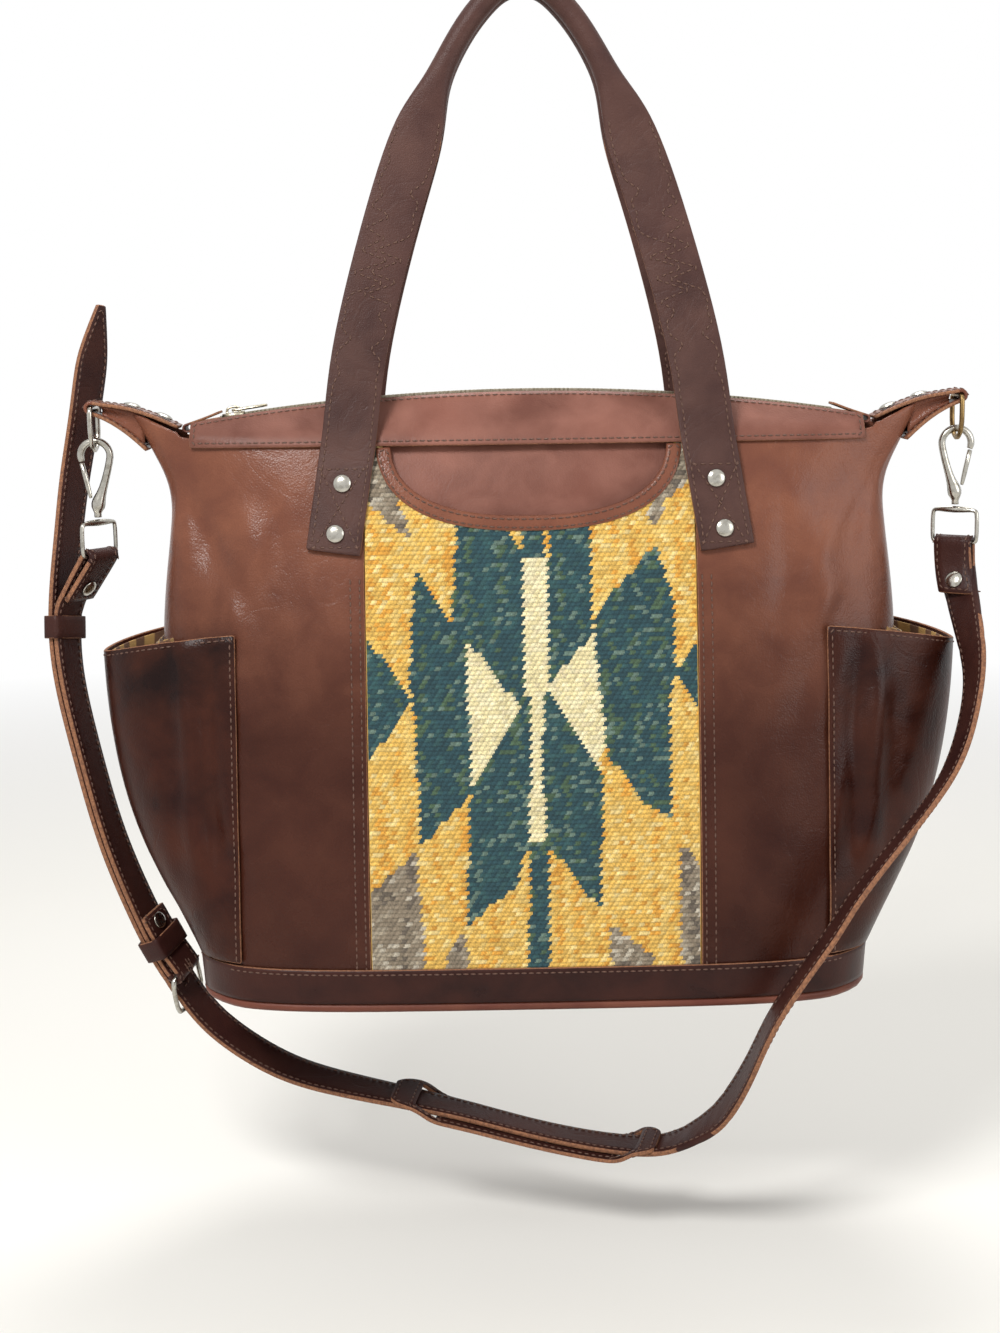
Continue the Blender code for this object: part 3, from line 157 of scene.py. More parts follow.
def makeLeatherGroup():
    tree = bpy.data.node_groups.new("leatherSurface", "ShaderNodeTree")
    for name in ("Grain Scale", "Crease Amount"):
        socket = tree.interface.new_socket(name=name, in_out="INPUT", socket_type="NodeSocketFloat")
        socket.default_value = 1.0
    for name in ("Tone", "Mottle", "Height"):
        tree.interface.new_socket(name=name, in_out="OUTPUT", socket_type="NodeSocketFloat")
    inputs = tree.nodes.new("NodeGroupInput")
    outputs = tree.nodes.new("NodeGroupOutput")
    place = tree.nodes.new("ShaderNodeTexCoord").outputs["Object"]
    tone = noiseNode(tree, place, *leatherLook["tone"])
    mottle = noiseNode(tree, place, *leatherLook["mottle"])
    pebble = tree.nodes.new("ShaderNodeTexVoronoi")
    tree.links.new(place, pebble.inputs["Vector"])
    pebbles = mathNode(tree, "MULTIPLY", inputs.outputs["Grain Scale"], leatherLook["pebbles"])
    tree.links.new(pebbles, pebble.inputs["Scale"])
    ridge = mathNode(tree, "SUBTRACT", noiseNode(tree, place, *leatherLook["creases"]), 0.5)
    ridge = mathNode(tree, "ABSOLUTE", ridge, 0.0)
    ridge = ramp(tree, ridge, 0.0, leatherLook["creaseWidth"])
    ridge = mathNode(tree, "MULTIPLY", ridge, inputs.outputs["Crease Amount"])
    height = mathNode(tree, "MULTIPLY", pebble.outputs["Distance"], leatherLook["pebbleHeight"])
    raised = mathNode(tree, "MULTIPLY", ridge, leatherLook["creaseHeight"])
    height = mathNode(tree, "ADD", height, raised)
    raised = mathNode(tree, "MULTIPLY", mottle, leatherLook["mottleHeight"])
    height = mathNode(tree, "ADD", height, raised)
    tree.links.new(ramp(tree, tone, 0.34, 0.66), outputs.inputs["Tone"])
    tree.links.new(ramp(tree, mottle, 0.30, 0.72), outputs.inputs["Mottle"])
    tree.links.new(height, outputs.inputs["Height"])
    return tree


leatherGroup = makeLeatherGroup()


def heightShare(tree, low, high):
    parts = tree.nodes.new("ShaderNodeSeparateXYZ")
    tree.links.new(tree.nodes.new("ShaderNodeTexCoord").outputs["Object"], parts.inputs[0])
    return ramp(tree, parts.outputs["Z"], low, high)


def leather(name, dark, mid, warm, gloss=(0.34, 0.52), grain=1.0, crease=1.0, bump=0.35, paintedLightHeights=None):
    material, tree, shader = newMaterial(name)
    surface = addNode(tree, "ShaderNodeGroup", node_tree=leatherGroup)
    surface.inputs["Grain Scale"].default_value = grain
    surface.inputs["Crease Amount"].default_value = crease
    tone = surface.outputs["Tone"]
    worn = mathNode(tree, "MULTIPLY", surface.outputs["Mottle"], leatherLook["worn"])
    if paintedLightHeights:      # painted top light on the waxed leather: painted paler towards the rim and darker towards the belly, as if lit from above
        share = heightShare(tree, *paintedLightHeights)
        tone = mathNode(tree, "MULTIPLY", tone, leatherLook["toneUnderPaintedLight"])
        tone = mathNode(tree, "ADD", tone, mathNode(tree, "MULTIPLY", share, leatherLook["paintedTopLight"]))
        # painted shade: less of the warm wear colour towards the belly
        paintedLightOnWear = ramp(tree, share, 0.0, 1.0, leatherLook["wornInPaintedShade"], 1.0)
        worn = mathNode(tree, "MULTIPLY", worn, paintedLightOnWear)
    colour = mixColour(tree, tone, dark, mid)
    colour = mixColour(tree, worn, colour, warm)
    tree.links.new(colour, shader.inputs["Base Color"])
    roughness = ramp(tree, surface.outputs["Mottle"], 0.0, 1.0, gloss[0], gloss[1])
    tree.links.new(roughness, shader.inputs["Roughness"])
    shader.inputs["Specular IOR Level"].default_value = leatherLook["specular"]
    bumpInto(tree, shader, surface.outputs["Height"], bump, leatherLook["bumpDistance"])
    return material


metalLook = {
    "tarnish": (320.0, 5.0),        # scale and detail of a noise
    "scratches": (900.0, 3.0),
    "dulled": 0.16,
    "bump": (0.08, 0.0002),         # strength and distance
}


def metal(name, colour, dull, rough):
    material, tree, shader = newMaterial(name)
    place = tree.nodes.new("ShaderNodeTexCoord").outputs["Object"]
    tarnish = noiseNode(tree, place, *metalLook["tarnish"])
    mixed = mixColour(tree, ramp(tree, tarnish, 0.45, 0.75), colour, dull)
    tree.links.new(mixed, shader.inputs["Base Color"])
    roughness = ramp(tree, tarnish, 0.3, 0.7, rough, rough + metalLook["dulled"])
    tree.links.new(roughness, shader.inputs["Roughness"])
    shader.inputs["Metallic"].default_value = 1.0
    bumpInto(tree, shader, noiseNode(tree, place, *metalLook["scratches"]), *metalLook["bump"])
    return material


def cloth(name, first, second, stripe=0.0, fine=1400.0):
    material, tree, shader = newMaterial(name)
    place = tree.nodes.new("ShaderNodeTexCoord").outputs["Object"]
    mask = ramp(tree, noiseNode(tree, place, 60.0, 4.0), 0.35, 0.65)
    if stripe:
        wave = addNode(tree, "ShaderNodeTexWave", wave_type="BANDS", bands_direction="Y")
        wave.inputs["Scale"].default_value = stripe
        wave.inputs["Distortion"].default_value = 0.4
        tree.links.new(place, wave.inputs["Vector"])
        mask = ramp(tree, wave.outputs["Fac"], 0.4, 0.6)
    tree.links.new(mixColour(tree, mask, first, second), shader.inputs["Base Color"])
    shader.inputs["Roughness"].default_value = 0.9
    shader.inputs["Sheen Weight"].default_value = 0.2
    threads = addNode(tree, "ShaderNodeTexChecker")
    threads.inputs["Scale"].default_value = fine
    tree.links.new(place, threads.inputs["Vector"])
    bumpInto(tree, shader, threads.outputs["Fac"], 0.3, 0.0003)
    return material


def plainRough(name, first, second, scale, rough):
    material, tree, shader = newMaterial(name)
    place = tree.nodes.new("ShaderNodeTexCoord").outputs["Object"]
    fibres = noiseNode(tree, place, scale, 4.0)
    mixed = mixColour(tree, ramp(tree, fibres, 0.35, 0.65), first, second)
    tree.links.new(mixed, shader.inputs["Base Color"])
    shader.inputs["Roughness"].default_value = rough
    bumpInto(tree, shader, fibres, 0.4, 0.0003)
    return material


def yarnMaterial():
    material, tree, shader = newMaterial("woolYarn")
    # the yarn colour attribute holds each knot's dye times its painted shade
    dyeAndPaintedShade = addNode(tree, "ShaderNodeAttribute", attribute_name="yarn")
    place = tree.nodes.new("ShaderNodeTexCoord").outputs["Object"]
    fleck = ramp(tree, noiseNode(tree, place, 1500.0, 4.0), 0.3, 0.75, 0.62, 1.25)
    shade = addNode(tree, "ShaderNodeVectorMath", operation="SCALE")
    tree.links.new(dyeAndPaintedShade.outputs["Color"], shade.inputs[0])
    tree.links.new(fleck, shade.inputs["Scale"])
    tree.links.new(shade.outputs["Vector"], shader.inputs["Base Color"])
    shader.inputs["Roughness"].default_value = 0.92
    shader.inputs["Sheen Weight"].default_value = 0.12
    bumpInto(tree, shader, noiseNode(tree, place, 2600.0, 3.0), 0.5, 0.0003)
    return material


# each leather: its dark, middle and warm tone in linear colour
bodyLeather = leather("bodyLeather", (0.020, 0.0028, 0.0012), (0.170, 0.0610, 0.0380),
                      (0.250, 0.0950, 0.0520), gloss=(0.20, 0.34), crease=1.2, bump=0.5,
                      paintedLightHeights=(-0.400, -0.285))
pocketLeather = leather("pocketLeather", (0.008, 0.0014, 0.0009), (0.026, 0.0048, 0.0024),
                        (0.070, 0.0180, 0.0080), gloss=(0.26, 0.42), crease=1.2, bump=0.5)
zipLeather = leather("zipLeather", (0.100, 0.036, 0.025), (0.210, 0.082, 0.058), (0.300, 0.132, 0.096))
handleLeather = leather("handleLeather", (0.035, 0.0155, 0.0135), (0.066, 0.0300, 0.0255),
                        (0.112, 0.0550, 0.0430), gloss=(0.38, 0.52), grain=1.3, crease=1.4, bump=0.6)
strapLeather = leather("strapLeather", (0.018, 0.0055, 0.0050), (0.036, 0.0115, 0.0095),
                       (0.070, 0.0230, 0.0150), gloss=(0.36, 0.52), grain=1.3, crease=1.2, bump=0.5)
bandLeather = leather("bandLeather", (0.016, 0.0048, 0.0040), (0.034, 0.0095, 0.0070),
                      (0.062, 0.0180, 0.0115), gloss=(0.26, 0.42), crease=0.6)
pipingLeather = leather("pipingLeather", (0.090, 0.026, 0.018), (0.150, 0.045, 0.030),
                        (0.200, 0.075, 0.045))
rawEdge = plainRough("rawEdge", (0.150, 0.060, 0.030), (0.300, 0.130, 0.060), 700.0, 0.8)
thread = plainRough("waxedThread", (0.060, 0.026, 0.017), (0.135, 0.064, 0.040), 2600.0, 0.6)
nickel = metal("paleNickel", (0.46, 0.44, 0.39), (0.26, 0.24, 0.20), 0.14)
brass = metal("antiqueBrass", (0.26, 0.17, 0.07), (0.10, 0.06, 0.03), 0.34)
zipMetal = metal("zipMetal", (0.52, 0.47, 0.36), (0.28, 0.24, 0.16), 0.24)
liningCloth = cloth("liningCloth", (0.110, 0.060, 0.026), (0.170, 0.095, 0.042))
pocketCloth = cloth("pocketCloth", (0.420, 0.250, 0.080), (0.130, 0.060, 0.028), stripe=42.0)
tapeCloth = cloth("tapeCloth", (0.022, 0.012, 0.009), (0.042, 0.024, 0.018))
textileBack = cloth("textileBack", (0.52, 0.29, 0.05), (0.68, 0.40, 0.09), fine=900.0)
yarn = yarnMaterial()
print("materials ready")


# Dressing: a fine, soft copy of a solid, with its cut edges picked out

dressing = {
    "sharp": 0.90,          # radians, from which an edge counts as cut
    "edgeWidth": 0.0034,    # a face narrower than this between two cut edges is a raw edge
    "weld": 1e-5,
    "flat": 0.12,           # radians up to which two triangles join into one face
    "skew": 1.2,
}
folding = {
    "height": 0.0036,       # soft folds of the side leather
    "start": 0.130,         # from the middle outwards: where they begin and where they are full
    "end": 0.165,
    "top": -0.250,
    "topFade": 0.03,
    "foot": -0.515,
    "footFade": 0.05,
    "corner": 0.195,        # beyond this the drawn-up corners fold less
    "cornerFade": 0.02,
    "cornerLoss": 0.85,
    "lean": 0.55,           # folds run down and inwards from the top corners
    "broad": (34, 9),       # waves a metre across and down
    "fine": (80, 26),
    "fineShare": 0.3,
    "depthFade": 0.03,
    "overrun": 0.15,        # how far a drawn fold goes past its ends, as a share of its length
    "taper": 1.3,
}

# soft folds of the front and back: start and foot (x, z), half width, height; mirrored left and right
folds = (
    (0.195, -0.254, 0.166, -0.330, 0.0090, -0.0042),
    (0.150, -0.262, 0.160, -0.335, 0.0120, 0.0034),
    (0.139, -0.258, 0.138, -0.318, 0.0050, -0.0022),
    (0.176, -0.300, 0.152, -0.352, 0.0070, 0.0018),
    (0.181, -0.345, 0.176, -0.500, 0.0060, -0.0040),
    (0.193, -0.345, 0.187, -0.480, 0.0055, 0.0034),
    (0.205, -0.345, 0.198, -0.490, 0.0050, -0.0030),
    (0.150, -0.370, 0.146, -0.470, 0.0120, -0.0014),
)


def clamp(value):
    return min(max(value, 0.0), 1.0)


def drawnFold(x, z):
    depth = 0.0
    overrun = folding["overrun"]
    for x1, z1, x2, z2, width, height in folds:
        dx, dz = x2 - x1, z2 - z1
        share = ((x - x1) * dx + (z - z1) * dz) / (dx * dx + dz * dz)
        if not -overrun < share < 1.0 + overrun:
            continue
        off = ((x - x1) * dz - (z - z1) * dx) / math.hypot(dx, dz)
        taper = math.sin(math.pi * clamp((share + overrun) / (1.0 + 2 * overrun))) ** folding["taper"]
        depth += height * taper * math.exp(-(off / width) ** 2)
    return depth


def softFold(point):
    reach = clamp((abs(point.x) - folding["start"]) / (folding["end"] - folding["start"]))
    low = clamp((folding["top"] - point.z) / folding["topFade"])
    foot = clamp((point.z - folding["foot"]) / folding["footFade"])
    if reach * low * foot <= 0.0:
        return Vector((0, 0, 0))
    corner = clamp((abs(point.x) - folding["corner"]) / folding["cornerFade"])
    reach *= 1.0 - folding["cornerLoss"] * corner
    lean = abs(point.x) - folding["lean"] * point.z
    across, down = folding["broad"]
    # the copysign terms give front and back, and left and right, folds of their own
    height = point.z * down + math.copysign(2.0, point.x)
    wave = noise.noise(Vector((lean * across, math.copysign(3.0, point.y), height)))
    across, down = folding["fine"]
    ripple = noise.noise(Vector((lean * across, math.copysign(5.0, point.y), point.z * down)))
    wave += folding["fineShare"] * ripple
    side = 1.0 if point.y > 0 else -1.0
    depth = min(abs(point.y) / folding["depthFade"], 1.0)
    move = wave * folding["height"] + drawnFold(abs(point.x), point.z)
    return Vector((0, side * depth * move * reach * low * foot, 0))


def cadShape(node):
    shape = bmesh.new()
    shape.from_mesh(frame["nodes"][node].data)
    bmesh.ops.remove_doubles(shape, verts=shape.verts, dist=dressing["weld"])
    bmesh.ops.join_triangles(shape, faces=shape.faces[:], angle_face_threshold=dressing["flat"],
                             angle_shape_threshold=dressing["skew"])
    shape.normal_update()
    return shape


def isCut(edge):
    return len(edge.link_faces) == 2 and edge.calc_face_angle(0.0) > dressing["sharp"]


def faceWidth(face):
    longest = max(edge.calc_length() for edge in face.edges)
    return face.calc_area() / max(longest, 1e-9)


def isRawEdge(face):
    # a narrow strip whose two longest sides are both cut and don't touch
    if faceWidth(face) > dressing["edgeWidth"]:
        return False
    first, second = sorted(face.edges, key=lambda edge: -edge.calc_length())[:2]
    return isCut(first) and isCut(second) and not set(first.verts) & set(second.verts)


def finished(node, shape, materials, levels, fold, creased=0.9):
    mesh = bpy.data.meshes.new(node + "_fine")
    layer = shape.edges.layers.float.new("crease_edge")
    for edge in shape.edges:
        if isCut(edge):
            edge[layer] = creased
    if len(materials) > 1:
        for face in shape.faces:
            face.material_index = 1 if isRawEdge(face) else 0
    shape.to_mesh(mesh)
    piece = bpy.data.objects.new(node + "_fine", mesh)
    scene.collection.objects.link(piece)
    for material in materials:
        mesh.materials.append(material)
    smooth = piece.modifiers.new("smooth", "SUBSURF")
    smooth.levels = levels
    smooth.render_levels = levels
    fine = bpy.data.meshes.new_from_object(piece.evaluated_get(bpy.context.evaluated_depsgraph_get()))
    piece.modifiers.clear()
    piece.data = fine
    if fold:
        for vertex in fine.vertices:
            vertex.co += softFold(vertex.co)
    fine.polygons.foreach_set("use_smooth", [True] * len(fine.polygons))
    fine.update()
    return piece


def dress(node, materials, levels=2, fold=False, creased=0.9):
    shape = cadShape(node)
    piece = finished(node, shape, materials, levels, fold, creased)
    shape.free()
    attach(piece, bodyOf[node])
    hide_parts(node)
    return piece


# Stitches: rows a little inside the cut edges, or along drawn lines

stitching = {
    "pitch": 0.0040,
    "length": 0.0032,
    "width": 0.0010,
    "margin": 0.0026,
    "lift": 0.0001,         # above the leather
    "closed": 1e-5,         # a chain's ends nearer than this make it a loop
    "backTurn": 0.3,        # two inward directions whose sum is shorter than this cancel out
    "tightTurn": 0.6,
    "drawnStep": 0.004,
    "drawnReach": 0.2,
}
rows = {}


def surfaceOf(piece):
    points = [vertex.co.copy() for vertex in piece.data.vertices]
    return BVHTree.FromPolygons(points, [polygon.vertices[:] for polygon in piece.data.polygons])


def edgeLoops(node):
    # chains of cut edges, each with the wide face that they bound
    shape = cadShape(node)
    links = {}
    for edge in shape.edges:
        if not isCut(edge):
            continue
        wide = max(edge.link_faces, key=faceWidth)
        if isRawEdge(wide):
            continue
        for vert in edge.verts:
            links.setdefault(vert.index, []).append((edge, wide))
    shape.verts.ensure_lookup_table()
    done = set()
    chains = []
    for start in sorted(links):
        for edge, wide in links[start]:
            if edge.index in done:
                continue
            chain = []
            vert = shape.verts[start]
            while edge is not None and edge.index not in done:
                done.add(edge.index)
                other = edge.other_vert(vert)
                along = (other.co - vert.co).normalized()
                inward = wide.normal.cross(along)
                if inward.dot(wide.calc_center_median() - vert.co) < 0:
                    inward = -inward
                chain.append((vert.co.copy(), other.co.copy(), inward.copy(), wide.normal.copy(), along))
                normal = wide.normal
                ahead = [(e, f) for e, f in links.get(other.index, []) if e.index not in done]
                ahead = [(e, f) for e, f in ahead if f.normal.dot(normal) > 0.5]
                vert = other
                edge, wide = ahead[0] if ahead else (None, None)
            if chain:
                chains.append(chain)
    shape.free()
    return chains


def keepRow(group, points):
    if len(points) > 1:
        rows.setdefault(group, []).append(points)


def insidePoint(surface, corner, inward, neighbour, margin):
    # a point on the leather, inside the corner between two edges by the margin
    mean = inward + neighbour
    if mean.length < stitching["backTurn"]:
        mean = inward
    mean = mean.normalized()
    reach = margin / max(mean.dot(inward), stitching["tightTurn"])
    hit = surface.find_nearest(corner + mean * reach)
    return hit[0] + hit[1] * stitching["lift"]


def stitchEdges(group, node, piece, wanted, margin=None):
    margin = stitching["margin"] if margin is None else margin
    surface = surfaceOf(piece)
    for chain in edgeLoops(node):
        line = []
        count = len(chain)
        closed = (chain[0][0] - chain[-1][1]).length < stitching["closed"]
        for place, (start, end, inward, normal, along) in enumerate(chain):
            if not wanted((start + end) / 2, normal, along):
                keepRow(group, line)
                line = []
                continue
            before = chain[place - 1] if place or closed else chain[place]
            line.append(insidePoint(surface, start, inward, before[2], margin))
            if place == count - 1 or not wanted(*nextOf(chain, place)):
                following = chain[(place + 1) % count] if closed or place < count - 1 else chain[place]
                line.append(insidePoint(surface, end, inward, following[2], margin))
        keepRow(group, line)


def nextOf(chain, place):
    start, end, inward, normal, along = chain[(place + 1) % len(chain)]
    return (start + end) / 2, normal, along


def stitchLine(group, piece, points, direction):
    # a drawn line, laid on the surface from one direction
    surface = surfaceOf(piece)
    line = []
    for first, second in zip(points, points[1:]):
        first, second = Vector(first), Vector(second)
        steps = max(2, int((second - first).length / stitching["drawnStep"]))
        for step in range(steps + 1):
            target = first.lerp(second, step / steps) - Vector(direction) * stitching["drawnReach"]
            hit = surface.ray_cast(target, Vector(direction))
            if hit[0] is not None:
                line.append(hit[0] + hit[1] * stitching["lift"])
    keepRow(group, line)


def makeRowTree(name, shapeKind):
    tree = bpy.data.node_groups.new(name, "GeometryNodeTree")
    tree.interface.new_socket(name="Geometry", in_out="INPUT", socket_type="NodeSocketGeometry")
    sizes = {}
    for label, value in (("Pitch", 0.004), ("Length", 0.003), ("Width", 0.0008), ("Height", 0.0006)):
        socket = tree.interface.new_socket(name=label, in_out="INPUT", socket_type="NodeSocketFloat")
        socket.default_value = value
        sizes[label] = socket.identifier
    socket = tree.interface.new_socket(name="Material", in_out="INPUT", socket_type="NodeSocketMaterial")
    sizes["Material"] = socket.identifier
    tree.interface.new_socket(name="Geometry", in_out="OUTPUT", socket_type="NodeSocketGeometry")
    inputs = tree.nodes.new("NodeGroupInput")
    outputs = tree.nodes.new("NodeGroupOutput")
    spaced = addNode(tree, "GeometryNodeResampleCurve", mode="LENGTH")
    tree.links.new(inputs.outputs["Geometry"], spaced.inputs["Curve"])
    tree.links.new(inputs.outputs["Pitch"], spaced.inputs["Length"])
    if shapeKind == "stitch":
        unit = tree.nodes.new("GeometryNodeMeshUVSphere")
        unit.inputs["Segments"].default_value = 6
        unit.inputs["Rings"].default_value = 4
        unit.inputs["Radius"].default_value = 0.5
    else:
        unit = tree.nodes.new("GeometryNodeMeshCube")
        unit.inputs["Size"].default_value = (1, 1, 1)
    turned = addNode(tree, "FunctionNodeAlignRotationToVector", axis="X")
    tangent = tree.nodes.new("GeometryNodeInputTangent")
    tree.links.new(tangent.outputs["Tangent"], turned.inputs["Vector"])
    scale = tree.nodes.new("ShaderNodeCombineXYZ")
    for axis, label in zip("XYZ", ("Length", "Width", "Height")):
        tree.links.new(inputs.outputs[label], scale.inputs[axis])
    placed = tree.nodes.new("GeometryNodeInstanceOnPoints")
    tree.links.new(spaced.outputs["Curve"], placed.inputs["Points"])
    tree.links.new(unit.outputs["Mesh"], placed.inputs["Instance"])
    tree.links.new(turned.outputs["Rotation"], placed.inputs["Rotation"])
    tree.links.new(scale.outputs["Vector"], placed.inputs["Scale"])
    real = tree.nodes.new("GeometryNodeRealizeInstances")
    tree.links.new(placed.outputs["Instances"], real.inputs["Geometry"])
    coloured = tree.nodes.new("GeometryNodeSetMaterial")
    tree.links.new(real.outputs["Geometry"], coloured.inputs["Geometry"])
    tree.links.new(inputs.outputs["Material"], coloured.inputs["Material"])
    tree.links.new(coloured.outputs["Geometry"], outputs.inputs["Geometry"])
    return tree, sizes


def repeatAlong(name, lines, treeAndSizes, values, material, smooth=True):
    path = bpy.data.curves.new(name + "_path", "CURVE")
    path.dimensions = "3D"
    for points in lines:
        spline = path.splines.new("POLY")
        spline.points.add(len(points) - 1)
        for spot, point in zip(spline.points, points):
            spot.co = (*point, 1.0)
    guide = bpy.data.objects.new(name + "_guide", path)
    scene.collection.objects.link(guide)
    tree, sizes = treeAndSizes
    modifier = guide.modifiers.new("rows", "NODES")
    modifier.node_group = tree
    for label, value in values.items():
        modifier[sizes[label]] = value
    modifier[sizes["Material"]] = material
    mesh = bpy.data.meshes.new_from_object(guide.evaluated_get(bpy.context.evaluated_depsgraph_get()))
    bpy.data.objects.remove(guide)
    mesh.polygons.foreach_set("use_smooth", [smooth] * len(mesh.polygons))
    if not mesh.materials:
        mesh.materials.append(material)
    piece = bpy.data.objects.new(name, mesh)
    scene.collection.objects.link(piece)
    return piece


stitchTree = makeRowTree("stitchRow", "stitch")
toothTree = makeRowTree("toothRow", "tooth")


# Body leather

fine = {}
fine["front_pocket_panel"] = dress("front_pocket_panel", [zipLeather, rawEdge])
for name in ("left_side_panel", "right_side_panel", "back_panel", "scoop_binding",
             "wing_tab_left", "wing_tab_right"):
    levels = 3 if "side_panel" in name else 2
    fine[name] = dress(name, [bodyLeather, rawEdge], levels, fold=True)
for name in ("side_pocket_left", "side_pocket_right"):
    fine[name] = dress(name, [pocketLeather, rawEdge], 2, fold=True)
for name in ("front_zip_panel", "back_zip_panel", "zip_end_tab_left", "zip_end_tab_right"):
    fine[name] = dress(name, [zipLeather, rawEdge])
for name in ("base_band", "bottom_panel"):
    fine[name] = dress(name, [bandLeather, rawEdge])
fine["base_piping"] = dress("base_piping", [pipingLeather], 1)
fine["main_lining"] = dress("main_lining", [liningCloth], 1, fold=True)
for side in ("left", "right"):
    fine["pocketLining_" + side] = dress("side_pocket_lining_" + side, [pocketCloth], fold=True)
for side in ("front", "back"):
    fine["zip_tape_" + side] = dress("zip_tape_" + side, [tapeCloth], 1)
print("body dressed")

# Wings: the corner's leather is drawn up under the tab, and folded sides close its mouth

wingLook = {
    "start": 0.193,
    "foot": -0.246,         # the corner is drawn up from here, fully after the fade
    "fade": 0.014,
    "raise": 0.0030,
    "gap": 0.0008,          # left under the tab
    "tabHalf": 0.009,
    "mouthStart": 0.206,
    "mouthEnd": 0.2385,
    "mouthSteps": 14,
    "sideOffset": 0.0062,
    "sideSteps": 5,
    "sideBend": 0.0022,
    "leafGap": 0.0002,
    "leather": 0.0012,
    "above": -0.15,         # a height over both wings
}


def drawCorner(piece, tab):
    surface = surfaceOf(tab)
    for vertex in piece.data.vertices:
        place = vertex.co
        if abs(place.x) < wingLook["start"] or place.z < wingLook["foot"]:
            continue
        across = min(max(place.y, -wingLook["tabHalf"]), wingLook["tabHalf"])
        hit = surface.ray_cast(Vector((place.x, across, place.z + 0.0003)), Vector((0, 0, 1)))
        room = hit[3] - wingLook["gap"] if hit[0] is not None else 0.0
        share = clamp((place.z - wingLook["foot"]) / wingLook["fade"])
        place.z += max(0.0, min(room, wingLook["raise"])) * share
    piece.data.update()


def leafHeights(surface, x, y):
    # heights of the tab's faces met from above: upper leaf's two, then lower leaf's two
    found = []
    start = Vector((x, y, wingLook["above"]))
    while len(found) < 4:
        hit = surface.ray_cast(start, Vector((0, 0, -1)))
        if hit[0] is None:
            break
        found.append(hit[0].z)
        start = hit[0] - Vector((0, 0, 0.0001))
    return found


def wingGusset(side, sign):
    surface = surfaceOf(fine["wing_tab_" + side])
    shape = bmesh.new()
    steps, rises = wingLook["mouthSteps"], wingLook["sideSteps"]
    for face in (-1, 1):
        rings = []
        for step in range(steps + 1):
            x = wingLook["mouthStart"] + (wingLook["mouthEnd"] - wingLook["mouthStart"]) * step / steps
            heights = leafHeights(surface, sign * x, face * wingLook["sideOffset"])
            if len(heights) < 4:
                continue
            upper, lower = heights[1] - wingLook["leafGap"], heights[2] + wingLook["leafGap"]
            ring = []
            for rise in range(rises + 1):
                bend = math.sin(math.pi * rise / rises)
                y = face * (wingLook["sideOffset"] - wingLook["sideBend"] * bend)
                ring.append(shape.verts.new((sign * x, y, lower + (upper - lower) * rise / rises)))
            rings.append(ring)
        for first, second in zip(rings, rings[1:]):
            for rise in range(rises):
                shape.faces.new((first[rise], second[rise], second[rise + 1], first[rise + 1]))
    print("gusset", side, len(shape.faces))
    mesh = bpy.data.meshes.new("wingGusset_" + side)
    shape.to_mesh(mesh)
    shape.free()
    piece = bpy.data.objects.new("wingGusset_" + side, mesh)
    scene.collection.objects.link(piece)
    mesh.materials.append(bodyLeather)
    thick = piece.modifiers.new("leather", "SOLIDIFY")
    thick.thickness = wingLook["leather"]
    thick.offset = 0.0
    solid = bpy.data.meshes.new_from_object(piece.evaluated_get(bpy.context.evaluated_depsgraph_get()))
    piece.modifiers.clear()
    piece.data = solid
    solid.polygons.foreach_set("use_smooth", [True] * len(solid.polygons))
    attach(piece, "bag")


for side, sign in (("left", -1), ("right", 1)):
    drawCorner(fine[side + "_side_panel"], fine["wing_tab_" + side])
    wingGusset(side, sign)
print("wings drawn up")


# Handles and shoulder strap

handleLook = {
    "flatFrom": -0.078,     # height under which the rolled handle is a flat strap
    "edgeTurn": 0.80,
    "margin": 0.0032,
    "stitchTop": -0.070,
    "stitchFoot": -0.2955,
    "stitchStep": 0.006,
    "sliceHalf": 0.0035,    # vertices this near a height give the leg's width there
}


def legWidth(points, z, side):
    # lowest and highest x of one leg of a handle at a height
    near = [p for p in points if abs(p.z - z) < handleLook["sliceHalf"] and p.x * side > 0]
    return min(p.x for p in near), max(p.x for p in near)


def handleRows(piece):
    points = [vertex.co for vertex in piece.data.vertices]
    for side in (-1, 1):
        inner, outer = [], []
        z = handleLook["stitchTop"]
        while z > handleLook["stitchFoot"]:
            low, high = legWidth(points, z, side)
            inner.append((low + handleLook["margin"], 0.0, z))
            outer.append((high - handleLook["margin"], 0.0, z))
            z -= handleLook["stitchStep"]
        for direction in ((0, 1, 0), (0, -1, 0)):
            for line in (inner, outer):
                stitchLine("handleStitches", piece, line, direction)


for name in ("front_handle", "back_handle"):
    fine[name] = dress(name, [handleLeather, rawEdge])
    for face in fine[name].data.polygons:
        flat = face.center.z < handleLook["flatFrom"]
        face.material_index = 1 if flat and abs(face.normal.x) > handleLook["edgeTurn"] else 0
for name in ("strap_long", "strap_short", "shoulder_pad", "keeper_loose", "keeper_fixed"):
    fine[name] = dress(name, [strapLeather, rawEdge])
print("handles and strap dressed")

# Metal

for name in frame["nodes"]:
    if name.startswith(("handle_rivet", "wing_rivet", "strap_rivet")):
        dress(name, [nickel], 2, creased=0.75)
    if name.startswith(("hook_", "buckle_")) or name == "d_ring_left":
        dress(name, [nickel], 1)
dress("d_ring_right", [brass], 1)
for name in ("zip_slider", "zip_puller"):
    dress(name, [zipMetal], 1)
print("metal dressed")


# Zip teeth

zipTeeth = {
    "arcRadius": 1.1550,
    "top": -0.2150,
    "halfLength": 0.1715,
    "pitch": 0.0024,
    "rowOffset": 0.0012,
    "toothLength": 0.0013,
    "toothWidth": 0.0034,
    "toothHeight": 0.0020,
    "lift": 0.0010,
    "stagger": 0.25,        # each row moves this share of a pitch, one to each side
    "steps": 80,
}


